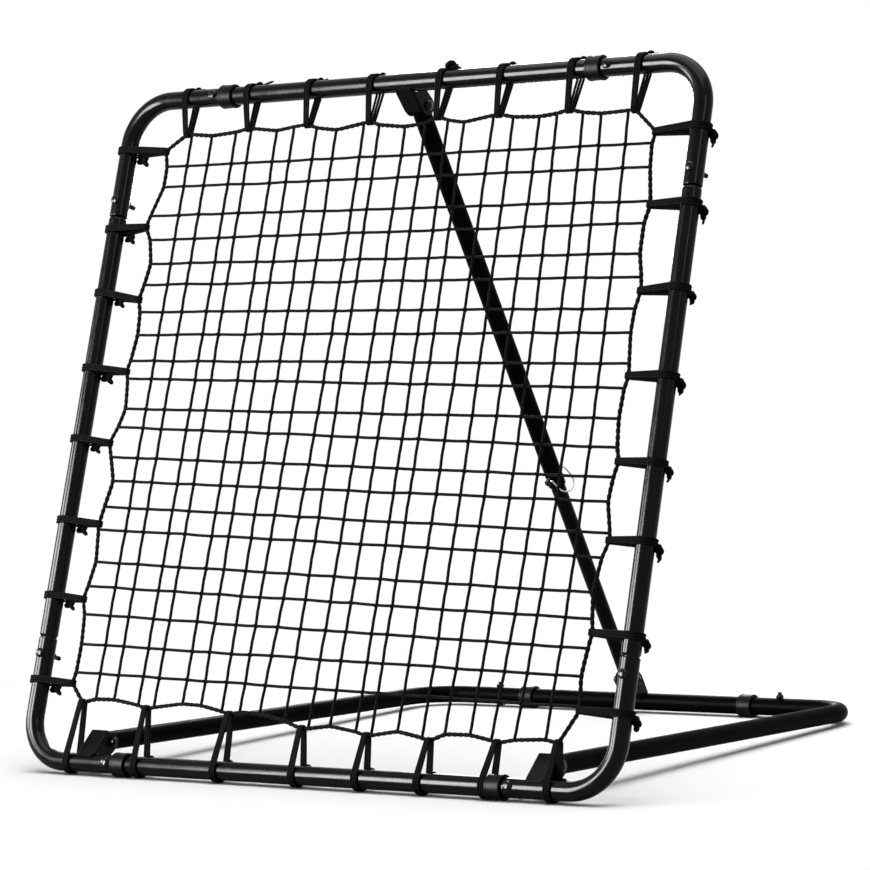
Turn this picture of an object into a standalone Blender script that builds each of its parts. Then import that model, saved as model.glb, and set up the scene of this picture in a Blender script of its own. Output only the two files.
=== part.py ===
"""Pitch back rebounder: a net in a leaning square frame of tube, on a U-shaped base with a telescopic strut.

Metres, +Z up. The origin is on the floor under the middle of the object, and the net faces -Y.
The frame is drawn flat, with X across, Z up and the bottom rail at zero, and hangs from an empty on the
hinge line that leans it back. The base and the strut have an empty of their own in the same way.
"""
import math

import bmesh
import bpy
import numpy as np
from mathutils import Matrix, Vector

# ---------------------------------------------------------------- driving dimensions
FRAME_WIDTH = 0.935  # between the centre lines of the side tubes
FRAME_HEIGHT = 0.935  # between the centre lines of the rails
FRAME_LEAN = math.radians(18.0)
BASE_DEPTH = 0.804  # from the bottom rail's centre line to the rear rail's
ARM_INSET = 0.1075  # from a side tube's centre line in to the base arm's

TUBE_RADIUS = 0.0125
TUBE_WALL = 0.0012
TUBE_SIDES = 12
BEND_RADIUS = 0.062
BEND_STEPS = 6
FRAME_SEAM = 0.167  # from a corner's centre lines to the seam between two tubes
FRAME_SPIGOT = 0.040
REAR_SEAM = 0.173
REAR_BOLT = 0.120
REAR_SPIGOT = 0.070
SWAGE_LENGTH = 0.005

COLLAR_WALL = 0.0036
COLLAR_LENGTH = 0.022
COLLAR_SEAT = 0.0004
COLLAR_FLAT = 0.0005  # depth of the flat sole that stands on the floor
COLLAR_EDGE = 0.0012  # chamfer round both ends
COLLAR_SIDES = 16

SHEET = 0.002
BRACKET_BEND = 0.003
BRACKET_REACH = 0.040  # from a rail's centre line to the pivot bolt
BRACKET_DROP = 0.0015  # pivot bolt's offset away from the web
BASE_BRACKET_ANGLE = math.radians(59.0)  # up from the rear, seen on the upright frame
TOP_BRACKET_ANGLE = math.radians(33.5)  # down from the rear, seen on the upright frame
REAR_BRACKET_ANGLE = math.radians(60.3)  # up from the front
BASE_WEB_END = 0.046
SHORT_WEB_END = 0.038
RELIEF = 0.0045  # depth of the notch where a bend meets its rail
PLATE_WRAP = 0.00875  # how far a bracket's plates reach round their rail
SADDLE_SIDES = 20

JOINT_BOLT_RADIUS = 0.003
JOINT_BOLT_TAIL = 0.029  # from the tube's centre line to the end of the shank
JOINT_HEAD_RADIUS = 0.0065
JOINT_HEAD_HEIGHT = 0.0035
REAR_HEAD_HEIGHT = 0.0024
JOINT_NUT_RADIUS = 0.0058
JOINT_NUT_HEIGHT = 0.005
PIVOT_BOLT_RADIUS = 0.004
PIVOT_HEAD_RADIUS = 0.0075
PIVOT_HEAD_HEIGHT = 0.0045
PIVOT_NUT_RADIUS = 0.0075
PIVOT_NUT_HEIGHT = 0.0065
SHANK_PROUD = 0.002
DOME_RIM = 0.2  # share of a domed head's height that is its straight rim
JOINT_HEAD_SIDES = 8
PIVOT_HEAD_SIDES = 10
NUT_SIDES = 6

INNER_STRUT_LENGTH = 0.600
STRUT_LAP = 0.014  # from the lock pin down to the outer tube's mouth
PIN_HEIGHT = 0.355  # along the strut, from its foot pivot
HOLE_PITCH = 0.041
SPARE_HOLES = 4
PIN_RADIUS = 0.0035
PIN_TIP = 0.018
PIN_HEAD_RADIUS = 0.005
PIN_HEAD_BACK = 0.0130
PIN_HEAD_END = 0.0205
PIN_CHAMFER = 0.001
PIN_SIDES = 12
PIN_HOLE_SIDES = 8
BAIL_EYE = 0.017
BAIL_TIP = 0.0195
BAIL_WIRE = 0.0011
BAIL_LEG = 0.014
BAIL_CROWN = 0.016
BAIL_OFFSET = 0.0072
BAIL_PROUD = 0.001  # the wire's end beyond the pin head, and short of its tip
BAIL_TURN = math.radians(61.0)  # from straight across the strut, down towards its foot

NET_SIDE_GAP = 0.0585  # from a side tube's centre line to the net's edge
NET_BOTTOM_GAP = 0.0655
NET_TOP_GAP = 0.0505
NET_CORD = 0.003
NET_SCALLOP = 0.009
TIE_COUNT = 8
TIE_SEAM_GAP = 0.0276  # from a seam to the tie beyond it
LACING_DIAMETER = 0.003
LACING_PITCH = 0.009  # between a tie's two strands where they meet in front of the tube
LACING_PINCH = 0.0046  # between them at the net's edge
LACING_STEPS = 10

# ---------------------------------------------------------------- clearances
TOUCH = 0.0003  # between pieces that touch
CORD_TOUCH = 0.0002  # between the lacing and a tube
SLIP = 0.0003  # round a spigot inside its tube
HEAD_GAP = 0.0045  # between a collar and the bolt head beside it
TIE_GAP = 0.001  # between a base bracket and the tie beside it
PLATE_PLAY = 0.0005  # beside a tube between a bracket's plates
BOLT_PLAY = 0.0003
PIN_PLAY = 0.0004
SLIDE_PLAY = 0.0005
LINK_PLAY = 0.0020  # the strut's top bolt, which takes up the linkage's small error

# ---------------------------------------------------------------- derived places
COLLAR_BORE = TUBE_RADIUS + COLLAR_SEAT
COLLAR_RADIUS = COLLAR_BORE + COLLAR_WALL
RAIL_Z = COLLAR_RADIUS - COLLAR_FLAT
PLATE_INNER = TUBE_RADIUS + PLATE_PLAY
PLATE_OUTER = PLATE_INNER + SHEET
WEB_INNER = TUBE_RADIUS + TOUCH
WEB_OUTER = WEB_INNER + SHEET
LOBE_RADIUS = TUBE_RADIUS + PLATE_PLAY
END_SPARE = 1.5 * TUBE_RADIUS  # tube beyond a pivot, before its end is cut round
FRAME_HALF = FRAME_WIDTH / 2
ARM_HALF = FRAME_HALF - ARM_INSET
FRAME_BOLT = FRAME_SEAM - COLLAR_LENGTH / 2 - HEAD_GAP - JOINT_HEAD_RADIUS  # from a corner
NET_HALF_WIDTH = FRAME_HALF - NET_SIDE_GAP
NET_TOP = FRAME_HEIGHT - NET_TOP_GAP
FIRST_TIE = ARM_INSET - PLATE_OUTER - TIE_GAP - (LACING_PITCH + LACING_DIAMETER) / 2  # from a corner
FRONT_RAIL = Vector((0, -BASE_DEPTH / 2, RAIL_Z))
REAR_RAIL = Vector((0, BASE_DEPTH / 2, RAIL_Z))
LEAN = Matrix.Rotation(-FRAME_LEAN, 4, "X")
X_AXIS = Vector((1, 0, 0))
Y_AXIS = Vector((0, 1, 0))
Z_AXIS = Vector((0, 0, 1))

parts = bpy.data.collections.new("pitch_back_rebounder")
cutters = bpy.data.collections.new("cutters")


def inner_apothem(radius, wall):
    """Least distance from a hollow tube's centre line to its inner faces."""
    return radius * math.cos(math.pi / TUBE_SIDES) - wall


def bore(radius, sides):
    """Corner radius of a round cut whose flat facets keep the given radius free."""
    return radius / math.cos(math.pi / sides)


SPIGOT_RADIUS = inner_apothem(TUBE_RADIUS, TUBE_WALL) - SLIP
INNER_STRUT_RADIUS = inner_apothem(TUBE_RADIUS, TUBE_WALL) - SLIDE_PLAY


def turn_to(x_axis, y_axis):
    """Rotation that takes local X and Y to two given directions."""
    return Matrix((x_axis, y_axis, x_axis.cross(y_axis))).transposed().to_4x4()


SIDEWAYS = turn_to(Y_AXIS, Z_AXIS)  # local Z along X, local X along Y


def bracket_point(angle, web_side, along, across):
    """Point in a bracket's side view: along it from the rail, and across towards its web."""
    forward = Vector((0, math.cos(angle), math.sin(angle)))
    sideward = Vector((0, -math.sin(angle), math.cos(angle))) * web_side
    return forward * along + sideward * across


# The hinge line between base and frame, on the upright frame, measured from the bottom rail.
HINGE_ON_FRAME = bracket_point(BASE_BRACKET_ANGLE, 1, BRACKET_REACH, -BRACKET_DROP)
TOP_PIVOT = bracket_point(-TOP_BRACKET_ANGLE, -1, BRACKET_REACH, -BRACKET_DROP)
TOP_ON_FRAME = Z_AXIS * FRAME_HEIGHT + TOP_PIVOT
FOOT_PIVOT = bracket_point(math.pi - REAR_BRACKET_ANGLE, -1, BRACKET_REACH, -BRACKET_DROP)
HINGE = FRONT_RAIL + LEAN @ HINGE_ON_FRAME
STRUT_TOP = FRONT_RAIL + LEAN @ TOP_ON_FRAME
STRUT_FOOT = REAR_RAIL + FOOT_PIVOT
STRUT_LENGTH = (STRUT_TOP - STRUT_FOOT).length
STRUT_TILT = math.atan2(STRUT_FOOT.y - STRUT_TOP.y, STRUT_TOP.z - STRUT_FOOT.z)
ARM_LENGTH = math.hypot(REAR_RAIL.y - HINGE.y, HINGE.z - RAIL_Z)
ARM_SLOPE = math.atan2(HINGE.z - RAIL_Z, REAR_RAIL.y - HINGE.y)


# ---------------------------------------------------------------- materials
def finish(name, colour, roughness, metallic):
    material = bpy.data.materials.new(name)
    material.use_nodes = True
    shader = material.node_tree.nodes["Principled BSDF"]
    shader.inputs["Base Color"].default_value = (*colour, 1)
    shader.inputs["Roughness"].default_value = roughness
    shader.inputs["Metallic"].default_value = metallic
    return material


# ---------------------------------------------------------------- modelling helpers
def empty(name, location, tilt):
    pivot = bpy.data.objects.new(name, None)
    pivot.location = location
    pivot.rotation_euler = (tilt, 0, 0)
    parts.objects.link(pivot)
    bpy.context.view_layer.update()
    return pivot


def add_object(name, mesh, parent, matrix, material=None):
    """Adds a mesh to the model, or to the cutters where it has no material."""
    piece = bpy.data.objects.new(name, mesh)
    collection = parts if material else cutters
    collection.objects.link(piece)
    piece.parent = parent
    piece.matrix_local = matrix
    if material:
        mesh.materials.clear()
        mesh.materials.append(material)
    else:
        piece.hide_render = True
        piece.display_type = "WIRE"
    return piece


def curve_to_mesh(curve):
    """Turns a curve into a welded mesh and removes the curve."""
    holder = bpy.data.objects.new(curve.name, curve)
    parts.objects.link(holder)
    bpy.context.view_layer.update()
    graph = bpy.context.evaluated_depsgraph_get()
    mesh = bpy.data.meshes.new_from_object(holder.evaluated_get(graph))
    bpy.data.objects.remove(holder)
    shape = bmesh.new()
    shape.from_mesh(mesh)
    bmesh.ops.remove_doubles(shape, verts=shape.verts, dist=0.00001)
    bmesh.ops.recalc_face_normals(shape, faces=shape.faces)
    shape.to_mesh(mesh)
    shape.free()
    return mesh


def sweep(name, points, radius, sides, scales=None, closed=False, caps=True):
    """Round bar of a few flat sides along a line of points."""
    curve = bpy.data.curves.new(name, "CURVE")
    curve.dimensions = "3D"
    curve.bevel_depth = radius
    curve.bevel_resolution = (sides - 4) // 2
    curve.use_fill_caps = caps
    spline = curve.splines.new("POLY")
    spline.points.add(len(points) - 1)
    spline.use_cyclic_u = closed
    for index, point in enumerate(points):
        spline.points[index].co = (*point, 1)
        spline.points[index].radius = scales[index] if scales else 1
    return curve_to_mesh(curve)


def flat_outline(name, outline, thickness):
    """Flat plate: an outline in local XY, centred on the plane."""
    curve = bpy.data.curves.new(name, "CURVE")
    curve.dimensions = "2D"
    curve.fill_mode = "BOTH"
    curve.extrude = thickness / 2
    spline = curve.splines.new("POLY")
    spline.points.add(len(outline) - 1)
    spline.use_cyclic_u = True
    for index, (x, y) in enumerate(outline):
        spline.points[index].co = (x, y, 0, 1)
    return curve_to_mesh(curve)


def arc(centre, radius, start, stop, steps):
    """Points on an arc, in degrees, both ends included."""
    points = []
    for index in range(steps + 1):
        angle = math.radians(start + (stop - start) * index / steps)
        points.append((centre[0] + radius * math.cos(angle), centre[1] + radius * math.sin(angle)))
    return points


def turned(name, profile, steps, parent, matrix, material, closed=False):
    """Turns a profile of (radius, height) points round local Z."""
    mesh = bpy.data.meshes.new(name)
    shape = bmesh.new()
    corners = [shape.verts.new((radius, 0, height)) for radius, height in profile]
    for first, second in zip(corners, corners[1:]):
        shape.edges.new((first, second))
    if closed:
        shape.edges.new((corners[-1], corners[0]))
    shape.to_mesh(mesh)
    shape.free()
    piece = add_object(name, mesh, parent, matrix, material)
    screw = piece.modifiers.new("turn", "SCREW")
    screw.steps = steps
    screw.render_steps = steps
    screw.use_merge_vertices = True
    screw.merge_threshold = 0.00001
    return piece


def cylinder_cutter(name, radius, length, parent, matrix, sides=10):
    """Round cutter along local Z that leaves the given radius free."""
    mesh = bpy.data.meshes.new(name)
    shape = bmesh.new()
    corner = bore(radius, sides)
    bmesh.ops.create_cone(
        shape, cap_ends=True, segments=sides, radius1=corner, radius2=corner, depth=length
    )
    shape.to_mesh(mesh)
    shape.free()
    return add_object(name, mesh, parent, matrix)


def box_cutter(name, size, parent, matrix):
    mesh = bpy.data.meshes.new(name)
    shape = bmesh.new()
    bmesh.ops.create_cube(shape, size=1, matrix=Matrix.Diagonal((*size, 1)))
    shape.to_mesh(mesh)
    shape.free()
    return add_object(name, mesh, parent, matrix)


def slot_cutter(name, radius, reach, thickness, parent, matrix):
    """Prism along local Z: round about its origin towards +Y, straight and open towards -Y."""
    outline = arc((0, 0), radius, 0, 180, 8) + [(-radius, -reach), (radius, -reach)]
    return add_object(name, flat_outline(name, outline, thickness), parent, matrix)


def nose_cutter(name, parent, matrix):
    """Cuts the end of a tube round about the origin: the tube runs along local Y, and the cut along Z."""
    round_end = bore(TUBE_RADIUS, 24)
    far = 3 * TUBE_RADIUS
    outline = arc((0, 0), round_end, 0, 180, 12) + [(-far, 0), (-far, far), (far, far), (far, 0)]
    return add_object(name, flat_outline(name, outline, far), parent, matrix)


def boolean(piece, cutter, operation="DIFFERENCE"):
    cut = piece.modifiers.new(cutter.name, "BOOLEAN")
    cut.operation = operation
    cut.solver = "EXACT"
    cut.object = cutter


def hollow_tube(name, points, parent, material, radius=TUBE_RADIUS, scales=None):
    """Tube with open ends, drawn as its outer skin and thickened inwards."""
    mesh = sweep(name, points, radius, TUBE_SIDES, scales, caps=False)
    piece = add_object(name, mesh, parent, Matrix.Identity(4), material)
    mesh.shade_smooth()
    wall = piece.modifiers.new("wall", "SOLIDIFY")
    wall.thickness = TUBE_WALL
    wall.offset = -1
    wall.use_even_offset = True
    return piece


def corner_path(corner, first, second, first_leg, second_leg):
    """Centre line of a bent tube: two legs from a corner and the bend between them."""
    points = [corner + first * first_leg]
    for index in range(BEND_STEPS + 1):
        angle = math.pi / 2 * index / BEND_STEPS
        inward = first * (1 - math.sin(angle)) + second * (1 - math.cos(angle))
        points.append(corner + inward * BEND_RADIUS)
    points.append(corner + second * second_leg)
    return points


def spigot_tube(name, axis, middle, half_length, spigot, parent, material):
    """Straight tube with a swaged spigot at both ends."""
    slim = SPIGOT_RADIUS / TUBE_RADIUS
    stations = [
        (-half_length - spigot, slim),
        (-half_length, slim),
        (-half_length + SWAGE_LENGTH, 1),
        (half_length - SWAGE_LENGTH, 1),
        (half_length, slim),
        (half_length + spigot, slim),
    ]
    points = [middle + axis * place for place, _ in stations]
    scales = [scale for _, scale in stations]
    return hollow_tube(name, points, parent, material, scales=scales)


def dome_profile(head_radius, head_height, shank_radius, shank_end):
    """Low domed head above zero, shank below it."""
    rim = head_height * DOME_RIM
    profile = [(0, head_height)]
    for degrees in (60, 30, 0):
        angle = math.radians(degrees)
        profile.append((head_radius * math.cos(angle), rim + (head_height - rim) * math.sin(angle)))
    profile += [(head_radius, 0), (shank_radius, 0), (shank_radius, -shank_end), (0, -shank_end)]
    return profile


def nut_profile(shank_radius, nut_radius, height, seat):
    """Section of a nut that sits below the given seat."""
    hole = bore(shank_radius + BOLT_PLAY, NUT_SIDES)
    bottom = -seat - height
    return [(hole, -seat), (nut_radius, -seat), (nut_radius, bottom), (hole, bottom)]


def joint_bolt(name, place, turn, parent, finishes, head_height=JOINT_HEAD_HEIGHT):
    """Bolt and nut across a tube. Local Z points from the tube's centre out of the bolt's head."""
    seat = TUBE_RADIUS + TOUCH
    matrix = Matrix.Translation(place) @ turn
    profile = dome_profile(JOINT_HEAD_RADIUS, head_height, JOINT_BOLT_RADIUS, seat + JOINT_BOLT_TAIL)
    head = matrix @ Matrix.Translation((0, 0, seat))
    turned(f"{name}_bolt", profile, JOINT_HEAD_SIDES, parent, head, finishes["bolt"])
    nut = nut_profile(JOINT_BOLT_RADIUS, JOINT_NUT_RADIUS, JOINT_NUT_HEIGHT, seat)
    turned(f"{name}_nut", nut, NUT_SIDES, parent, matrix, finishes["bolt"], closed=True)
    reach = 4 * TUBE_RADIUS
    return cylinder_cutter(f"{name}_hole", JOINT_BOLT_RADIUS + BOLT_PLAY, reach, parent, matrix, sides=8)


def pivot_bolt(name, place, head_side, parent, finishes):
    """Bolt along X through a bracket's plates, with its head on the given side."""
    seat = PLATE_OUTER + TOUCH
    tail = 2 * seat + PIVOT_NUT_HEIGHT + SHANK_PROUD
    matrix = Matrix.Translation(place) @ turn_to(Y_AXIS * head_side, Z_AXIS)
    profile = dome_profile(PIVOT_HEAD_RADIUS, PIVOT_HEAD_HEIGHT, PIVOT_BOLT_RADIUS, tail)
    head = matrix @ Matrix.Translation((0, 0, seat))
    turned(f"{name}_bolt", profile, PIVOT_HEAD_SIDES, parent, head, finishes["bolt"])
    nut = nut_profile(PIVOT_BOLT_RADIUS, PIVOT_NUT_RADIUS, PIVOT_NUT_HEIGHT, seat)
    turned(f"{name}_nut", nut, NUT_SIDES, parent, matrix, finishes["bolt"], closed=True)


def channel_outline():
    """Cross-section of a bracket: X across the plates, Y towards the web, round at the two bends."""
    inner_bend = BRACKET_BEND - SHEET
    foot = -2 * TUBE_RADIUS
    outer_x = PLATE_OUTER - BRACKET_BEND
    inner_x = PLATE_INNER - inner_bend
    outline = [(PLATE_OUTER, foot)]
    outline += arc((outer_x, WEB_OUTER - BRACKET_BEND), BRACKET_BEND, 0, 90, 3)
    outline += arc((-outer_x, WEB_OUTER - BRACKET_BEND), BRACKET_BEND, 90, 180, 3)
    outline += [(-PLATE_OUTER, foot), (-PLATE_INNER, foot)]
    outline += arc((-inner_x, WEB_INNER - inner_bend), inner_bend, 180, 90, 2)
    outline += arc((inner_x, WEB_INNER - inner_bend), inner_bend, 90, 0, 2)
    outline.append((PLATE_INNER, foot))
    return outline


def plate_outline(web_end):
    """Side view of a bracket: X along it from the rail, Y towards the web, a lobe round the pivot."""
    drop = -BRACKET_DROP
    lobe_top = math.degrees(math.acos((web_end - BRACKET_REACH) / LOBE_RADIUS))
    outline = [(0, -PLATE_WRAP), (0, WEB_OUTER + SHEET), (web_end, WEB_OUTER + SHEET)]
    outline += arc((BRACKET_REACH, drop), LOBE_RADIUS, lobe_top, -90, 9)
    return outline


def folded_bracket(name, rail_point, angle, web_side, web_end, parent, material):
    """U-shaped bracket of folded sheet that saddles a rail and carries a pivot bolt."""
    forward = bracket_point(angle, web_side, 1, 0)
    webward = bracket_point(angle, web_side, 0, 1)
    across = forward.cross(webward)
    side_view = turn_to(forward, webward)
    end_view = turn_to(-across, webward)
    at_rail = Matrix.Translation(rail_point)
    reach = BRACKET_REACH + 2 * LOBE_RADIUS
    through = 3 * PLATE_OUTER
    channel = flat_outline(name, channel_outline(), 2 * reach)
    piece = add_object(name, channel, parent, at_rail @ end_view, material)
    blank = flat_outline(f"{name}_blank", plate_outline(web_end), through)
    boolean(piece, add_object(f"{name}_blank", blank, parent, at_rail @ side_view), "INTERSECT")
    rail = at_rail @ SIDEWAYS
    saddle = TUBE_RADIUS + TOUCH
    boolean(piece, cylinder_cutter(f"{name}_saddle", saddle, through, parent, rail, SADDLE_SIDES))
    pivot = Matrix.Translation(bracket_point(angle, web_side, BRACKET_REACH, -BRACKET_DROP))
    hole = PIVOT_BOLT_RADIUS + BOLT_PLAY
    boolean(piece, cylinder_cutter(f"{name}_hole", hole, through, parent, at_rail @ pivot @ SIDEWAYS))
    for side in (-1, 1):
        corner = webward * WEB_OUTER + X_AXIS * (side * PLATE_OUTER)
        notch = at_rail @ Matrix.Translation(corner) @ side_view
        size = (2 * RELIEF, 2 * RELIEF, 2 * BRACKET_BEND)
        boolean(piece, box_cutter(f"{name}_relief_{side + 1}", size, parent, notch))
    return piece


def collar(name, x, rail, parent, material, floor=None):
    """Plastic sleeve over a seam. One that stands on the floor has a flat sole."""
    half = COLLAR_LENGTH / 2
    bored = bore(COLLAR_BORE, COLLAR_SIDES)
    profile = [
        (bored, half),
        (COLLAR_RADIUS - COLLAR_EDGE, half),
        (COLLAR_RADIUS, half - COLLAR_EDGE),
        (COLLAR_RADIUS, COLLAR_EDGE - half),
        (COLLAR_RADIUS - COLLAR_EDGE, -half),
        (bored, -half),
    ]
    world = Matrix.Translation(rail + X_AXIS * x) @ SIDEWAYS
    local = parent.matrix_world.inverted() @ world
    piece = turned(name, profile, COLLAR_SIDES, parent, local, material, closed=True)
    if floor:
        boolean(piece, floor)
    return piece


# ---------------------------------------------------------------- frame
def build_frame(hinge, finishes):
    """Four bent corners, four straight tubes, their bolts and the collars on the rails."""
    at_rail = -HINGE_ON_FRAME
    enamel = finishes["enamel"]
    right = X_AXIS
    up = Z_AXIS
    middle = at_rail + up * (FRAME_HEIGHT / 2)
    tubes = {}
    for corner, side, level in (("tl", -1, 1), ("tr", 1, 1), ("bl", -1, -1), ("br", 1, -1)):
        apex = middle + right * (side * FRAME_HALF) + up * (level * FRAME_HEIGHT / 2)
        path = corner_path(apex, right * -side, up * -level, FRAME_SEAM, FRAME_SEAM)
        tubes[corner] = hollow_tube(f"corner_tube_{corner}", path, hinge, enamel)
    rail_half = FRAME_HALF - FRAME_SEAM - TOUCH
    side_half = FRAME_HEIGHT / 2 - FRAME_SEAM - TOUCH
    top = middle + up * (FRAME_HEIGHT / 2)
    straight = {
        "top": spigot_tube("top_rail", right, top, rail_half, FRAME_SPIGOT, hinge, enamel),
        "bottom": spigot_tube("bottom_rail", right, at_rail, rail_half, FRAME_SPIGOT, hinge, enamel),
    }
    for side, x in (("left", -FRAME_HALF), ("right", FRAME_HALF)):
        place = middle + right * x
        straight[side] = spigot_tube(f"side_tube_{side}", up, place, side_half, FRAME_SPIGOT, hinge, enamel)
    front = Matrix.Rotation(math.pi / 2, 4, "X")  # bolt heads look out of the front
    for corner, rail, side, x_sign, z_sign in (
        ("tl", "top", "left", -1, 1),
        ("tr", "top", "right", 1, 1),
        ("bl", "bottom", "left", -1, -1),
        ("br", "bottom", "right", 1, -1),
    ):
        apex = middle + right * (x_sign * FRAME_HALF) + up * (z_sign * FRAME_HEIGHT / 2)
        on_rail = apex - right * (x_sign * FRAME_BOLT)
        on_side = apex - up * (z_sign * FRAME_BOLT)
        for run, place in ((rail, on_rail), (side, on_side)):
            hole = joint_bolt(f"{corner}_{run}", place, front, hinge, finishes)
            boolean(tubes[corner], hole)
            boolean(straight[run], hole)


def build_collars(hinge, base, finishes):
    """Sleeves over the rail seams. The two lower pairs carry the object."""
    slab = Matrix.Translation((0, 0, -COLLAR_RADIUS))
    size = (2 * FRAME_WIDTH, 2 * BASE_DEPTH, 2 * COLLAR_RADIUS)
    floor = box_cutter("floor_slab", size, None, slab)
    top_rail = FRONT_RAIL + LEAN @ Vector((0, 0, FRAME_HEIGHT))
    for side, sign in (("left", -1), ("right", 1)):
        x = sign * (FRAME_HALF - FRAME_SEAM)
        collar(f"collar_top_{side}", x, top_rail, hinge, finishes["plastic"])
        collar(f"collar_bottom_{side}", x, FRONT_RAIL, hinge, finishes["plastic"], floor)
        rear_x = sign * (ARM_HALF - REAR_SEAM)
        collar(f"collar_rear_{side}", rear_x, REAR_RAIL, base, finishes["plastic"], floor)


# ---------------------------------------------------------------- base
def build_base(base, finishes):
    """Two arms bent at the rear corners, and the rear rail between them."""
    enamel = finishes["enamel"]
    half = ARM_HALF - REAR_SEAM - TOUCH
    rail = spigot_tube("rear_rail", X_AXIS, Vector(), half, REAR_SPIGOT, base, enamel)
    downward = Matrix.Rotation(math.pi + ARM_SLOPE, 4, "X")  # bolt heads look down at the floor
    hole = PIVOT_BOLT_RADIUS + BOLT_PLAY
    for side, sign in (("left", -1), ("right", 1)):
        corner = X_AXIS * (sign * ARM_HALF)
        tip = ARM_LENGTH + END_SPARE
        path = corner_path(corner, X_AXIS * -sign, -Y_AXIS, REAR_SEAM, tip)
        arm = hollow_tube(f"base_arm_{side}", path, base, enamel)
        pivot = Matrix.Translation(corner - Y_AXIS * ARM_LENGTH)
        boolean(arm, nose_cutter(f"arm_nose_{side}", base, pivot @ turn_to(Z_AXIS, -Y_AXIS)))
        boolean(arm, cylinder_cutter(f"arm_hole_{side}", hole, 4 * TUBE_RADIUS, base, pivot @ SIDEWAYS))
        place = X_AXIS * (sign * (ARM_HALF - REAR_BOLT))
        bolt_hole = joint_bolt(f"rear_{side}", place, downward, base, finishes, REAR_HEAD_HEIGHT)
        boolean(arm, bolt_hole)
        boolean(rail, bolt_hole)


# ---------------------------------------------------------------- brackets and pivots
def build_brackets(hinge, base, finishes):
    """Folded brackets on the three rails, and the bolts that the arms and the strut turn on."""
    enamel = finishes["bracket"]
    bottom = -HINGE_ON_FRAME
    for side, sign in (("left", -1), ("right", 1)):
        offset = X_AXIS * (sign * ARM_HALF)
        name = f"base_bracket_{side}"
        folded_bracket(name, bottom + offset, BASE_BRACKET_ANGLE, 1, BASE_WEB_END, hinge, enamel)
        pivot_bolt(f"pivot_{side}", offset, sign, hinge, finishes)
    top = bottom + Z_AXIS * FRAME_HEIGHT
    folded_bracket("top_bracket", top, -TOP_BRACKET_ANGLE, -1, SHORT_WEB_END, hinge, enamel)
    pivot_bolt("pivot_top", TOP_ON_FRAME - HINGE_ON_FRAME, 1, hinge, finishes)
    rear_angle = math.pi - REAR_BRACKET_ANGLE + ARM_SLOPE
    folded_bracket("rear_bracket", Vector(), rear_angle, -1, SHORT_WEB_END, base, enamel)
    foot = bracket_point(rear_angle, -1, BRACKET_REACH, -BRACKET_DROP)
    pivot_bolt("pivot_foot", foot, 1, base, finishes)


# ---------------------------------------------------------------- strut
def build_strut(foot, finishes):
    """Telescopic strut along the empty's Z, from its foot pivot at zero to the top bracket."""
    enamel = finishes["enamel"]
    mouth = Z_AXIS * (PIN_HEIGHT - STRUT_LAP)
    top = Z_AXIS * STRUT_LENGTH
    outer = hollow_tube("strut_outer", [mouth, top + Z_AXIS * END_SPARE], foot, enamel)
    at_top = Matrix.Translation(top)
    boolean(outer, nose_cutter("strut_top_nose", foot, at_top @ SIDEWAYS))
    top_hole = PIVOT_BOLT_RADIUS + LINK_PLAY
    boolean(outer, cylinder_cutter("strut_top_hole", top_hole, 4 * TUBE_RADIUS, foot, at_top @ SIDEWAYS))
    at_pin = Matrix.Translation(Z_AXIS * PIN_HEIGHT)
    along_pin = turn_to(-X_AXIS, Z_AXIS)
    seat = bore(PIN_RADIUS + PIN_PLAY, 16)
    boolean(outer, slot_cutter("strut_seat", seat, 2 * STRUT_LAP, 4 * TUBE_RADIUS, foot, at_pin @ along_pin))

    ends = [Z_AXIS * -END_SPARE, Z_AXIS * INNER_STRUT_LENGTH]
    inner = hollow_tube("strut_inner", ends, foot, finishes["inner"], radius=INNER_STRUT_RADIUS)
    shrink = Matrix.Scale(INNER_STRUT_RADIUS / TUBE_RADIUS, 4)
    boolean(inner, nose_cutter("strut_foot_nose", foot, turn_to(-Y_AXIS, -Z_AXIS) @ shrink))
    hole = PIVOT_BOLT_RADIUS + BOLT_PLAY
    boolean(inner, cylinder_cutter("strut_foot_hole", hole, 4 * TUBE_RADIUS, foot, SIDEWAYS))
    pin_hole = PIN_RADIUS + PIN_PLAY
    for index in range(SPARE_HOLES + 1):
        place = Matrix.Translation(Z_AXIS * (PIN_HEIGHT + index * HOLE_PITCH)) @ along_pin
        name = f"adjuster_hole_{index}"
        boolean(inner, cylinder_cutter(name, pin_hole, 4 * TUBE_RADIUS, foot, place, PIN_HOLE_SIDES))


def bail_points():
    """Wire bail from the eye in the pin's head, round one side of the strut, over the pin's tip.

    Points are (along the pin, away from the strut, along the eye), measured from the eye.
    """
    span = BAIL_EYE + BAIL_TIP
    bend = BAIL_WIRE * 1.5
    plane = -BAIL_OFFSET
    points = [(0, 0, PIN_HEAD_RADIUS + BAIL_PROUD), (0, 0, plane + bend), (0, bend, plane)]
    for degrees in range(0, 181, 20):
        angle = math.radians(degrees)
        across = span / 2 * (1 - math.cos(angle))
        points.append((across, BAIL_LEG + BAIL_CROWN * math.sin(angle), plane))
    points += [(span, bend, plane), (span, 0, plane + bend), (span, 0, BAIL_PROUD)]
    return points


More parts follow.
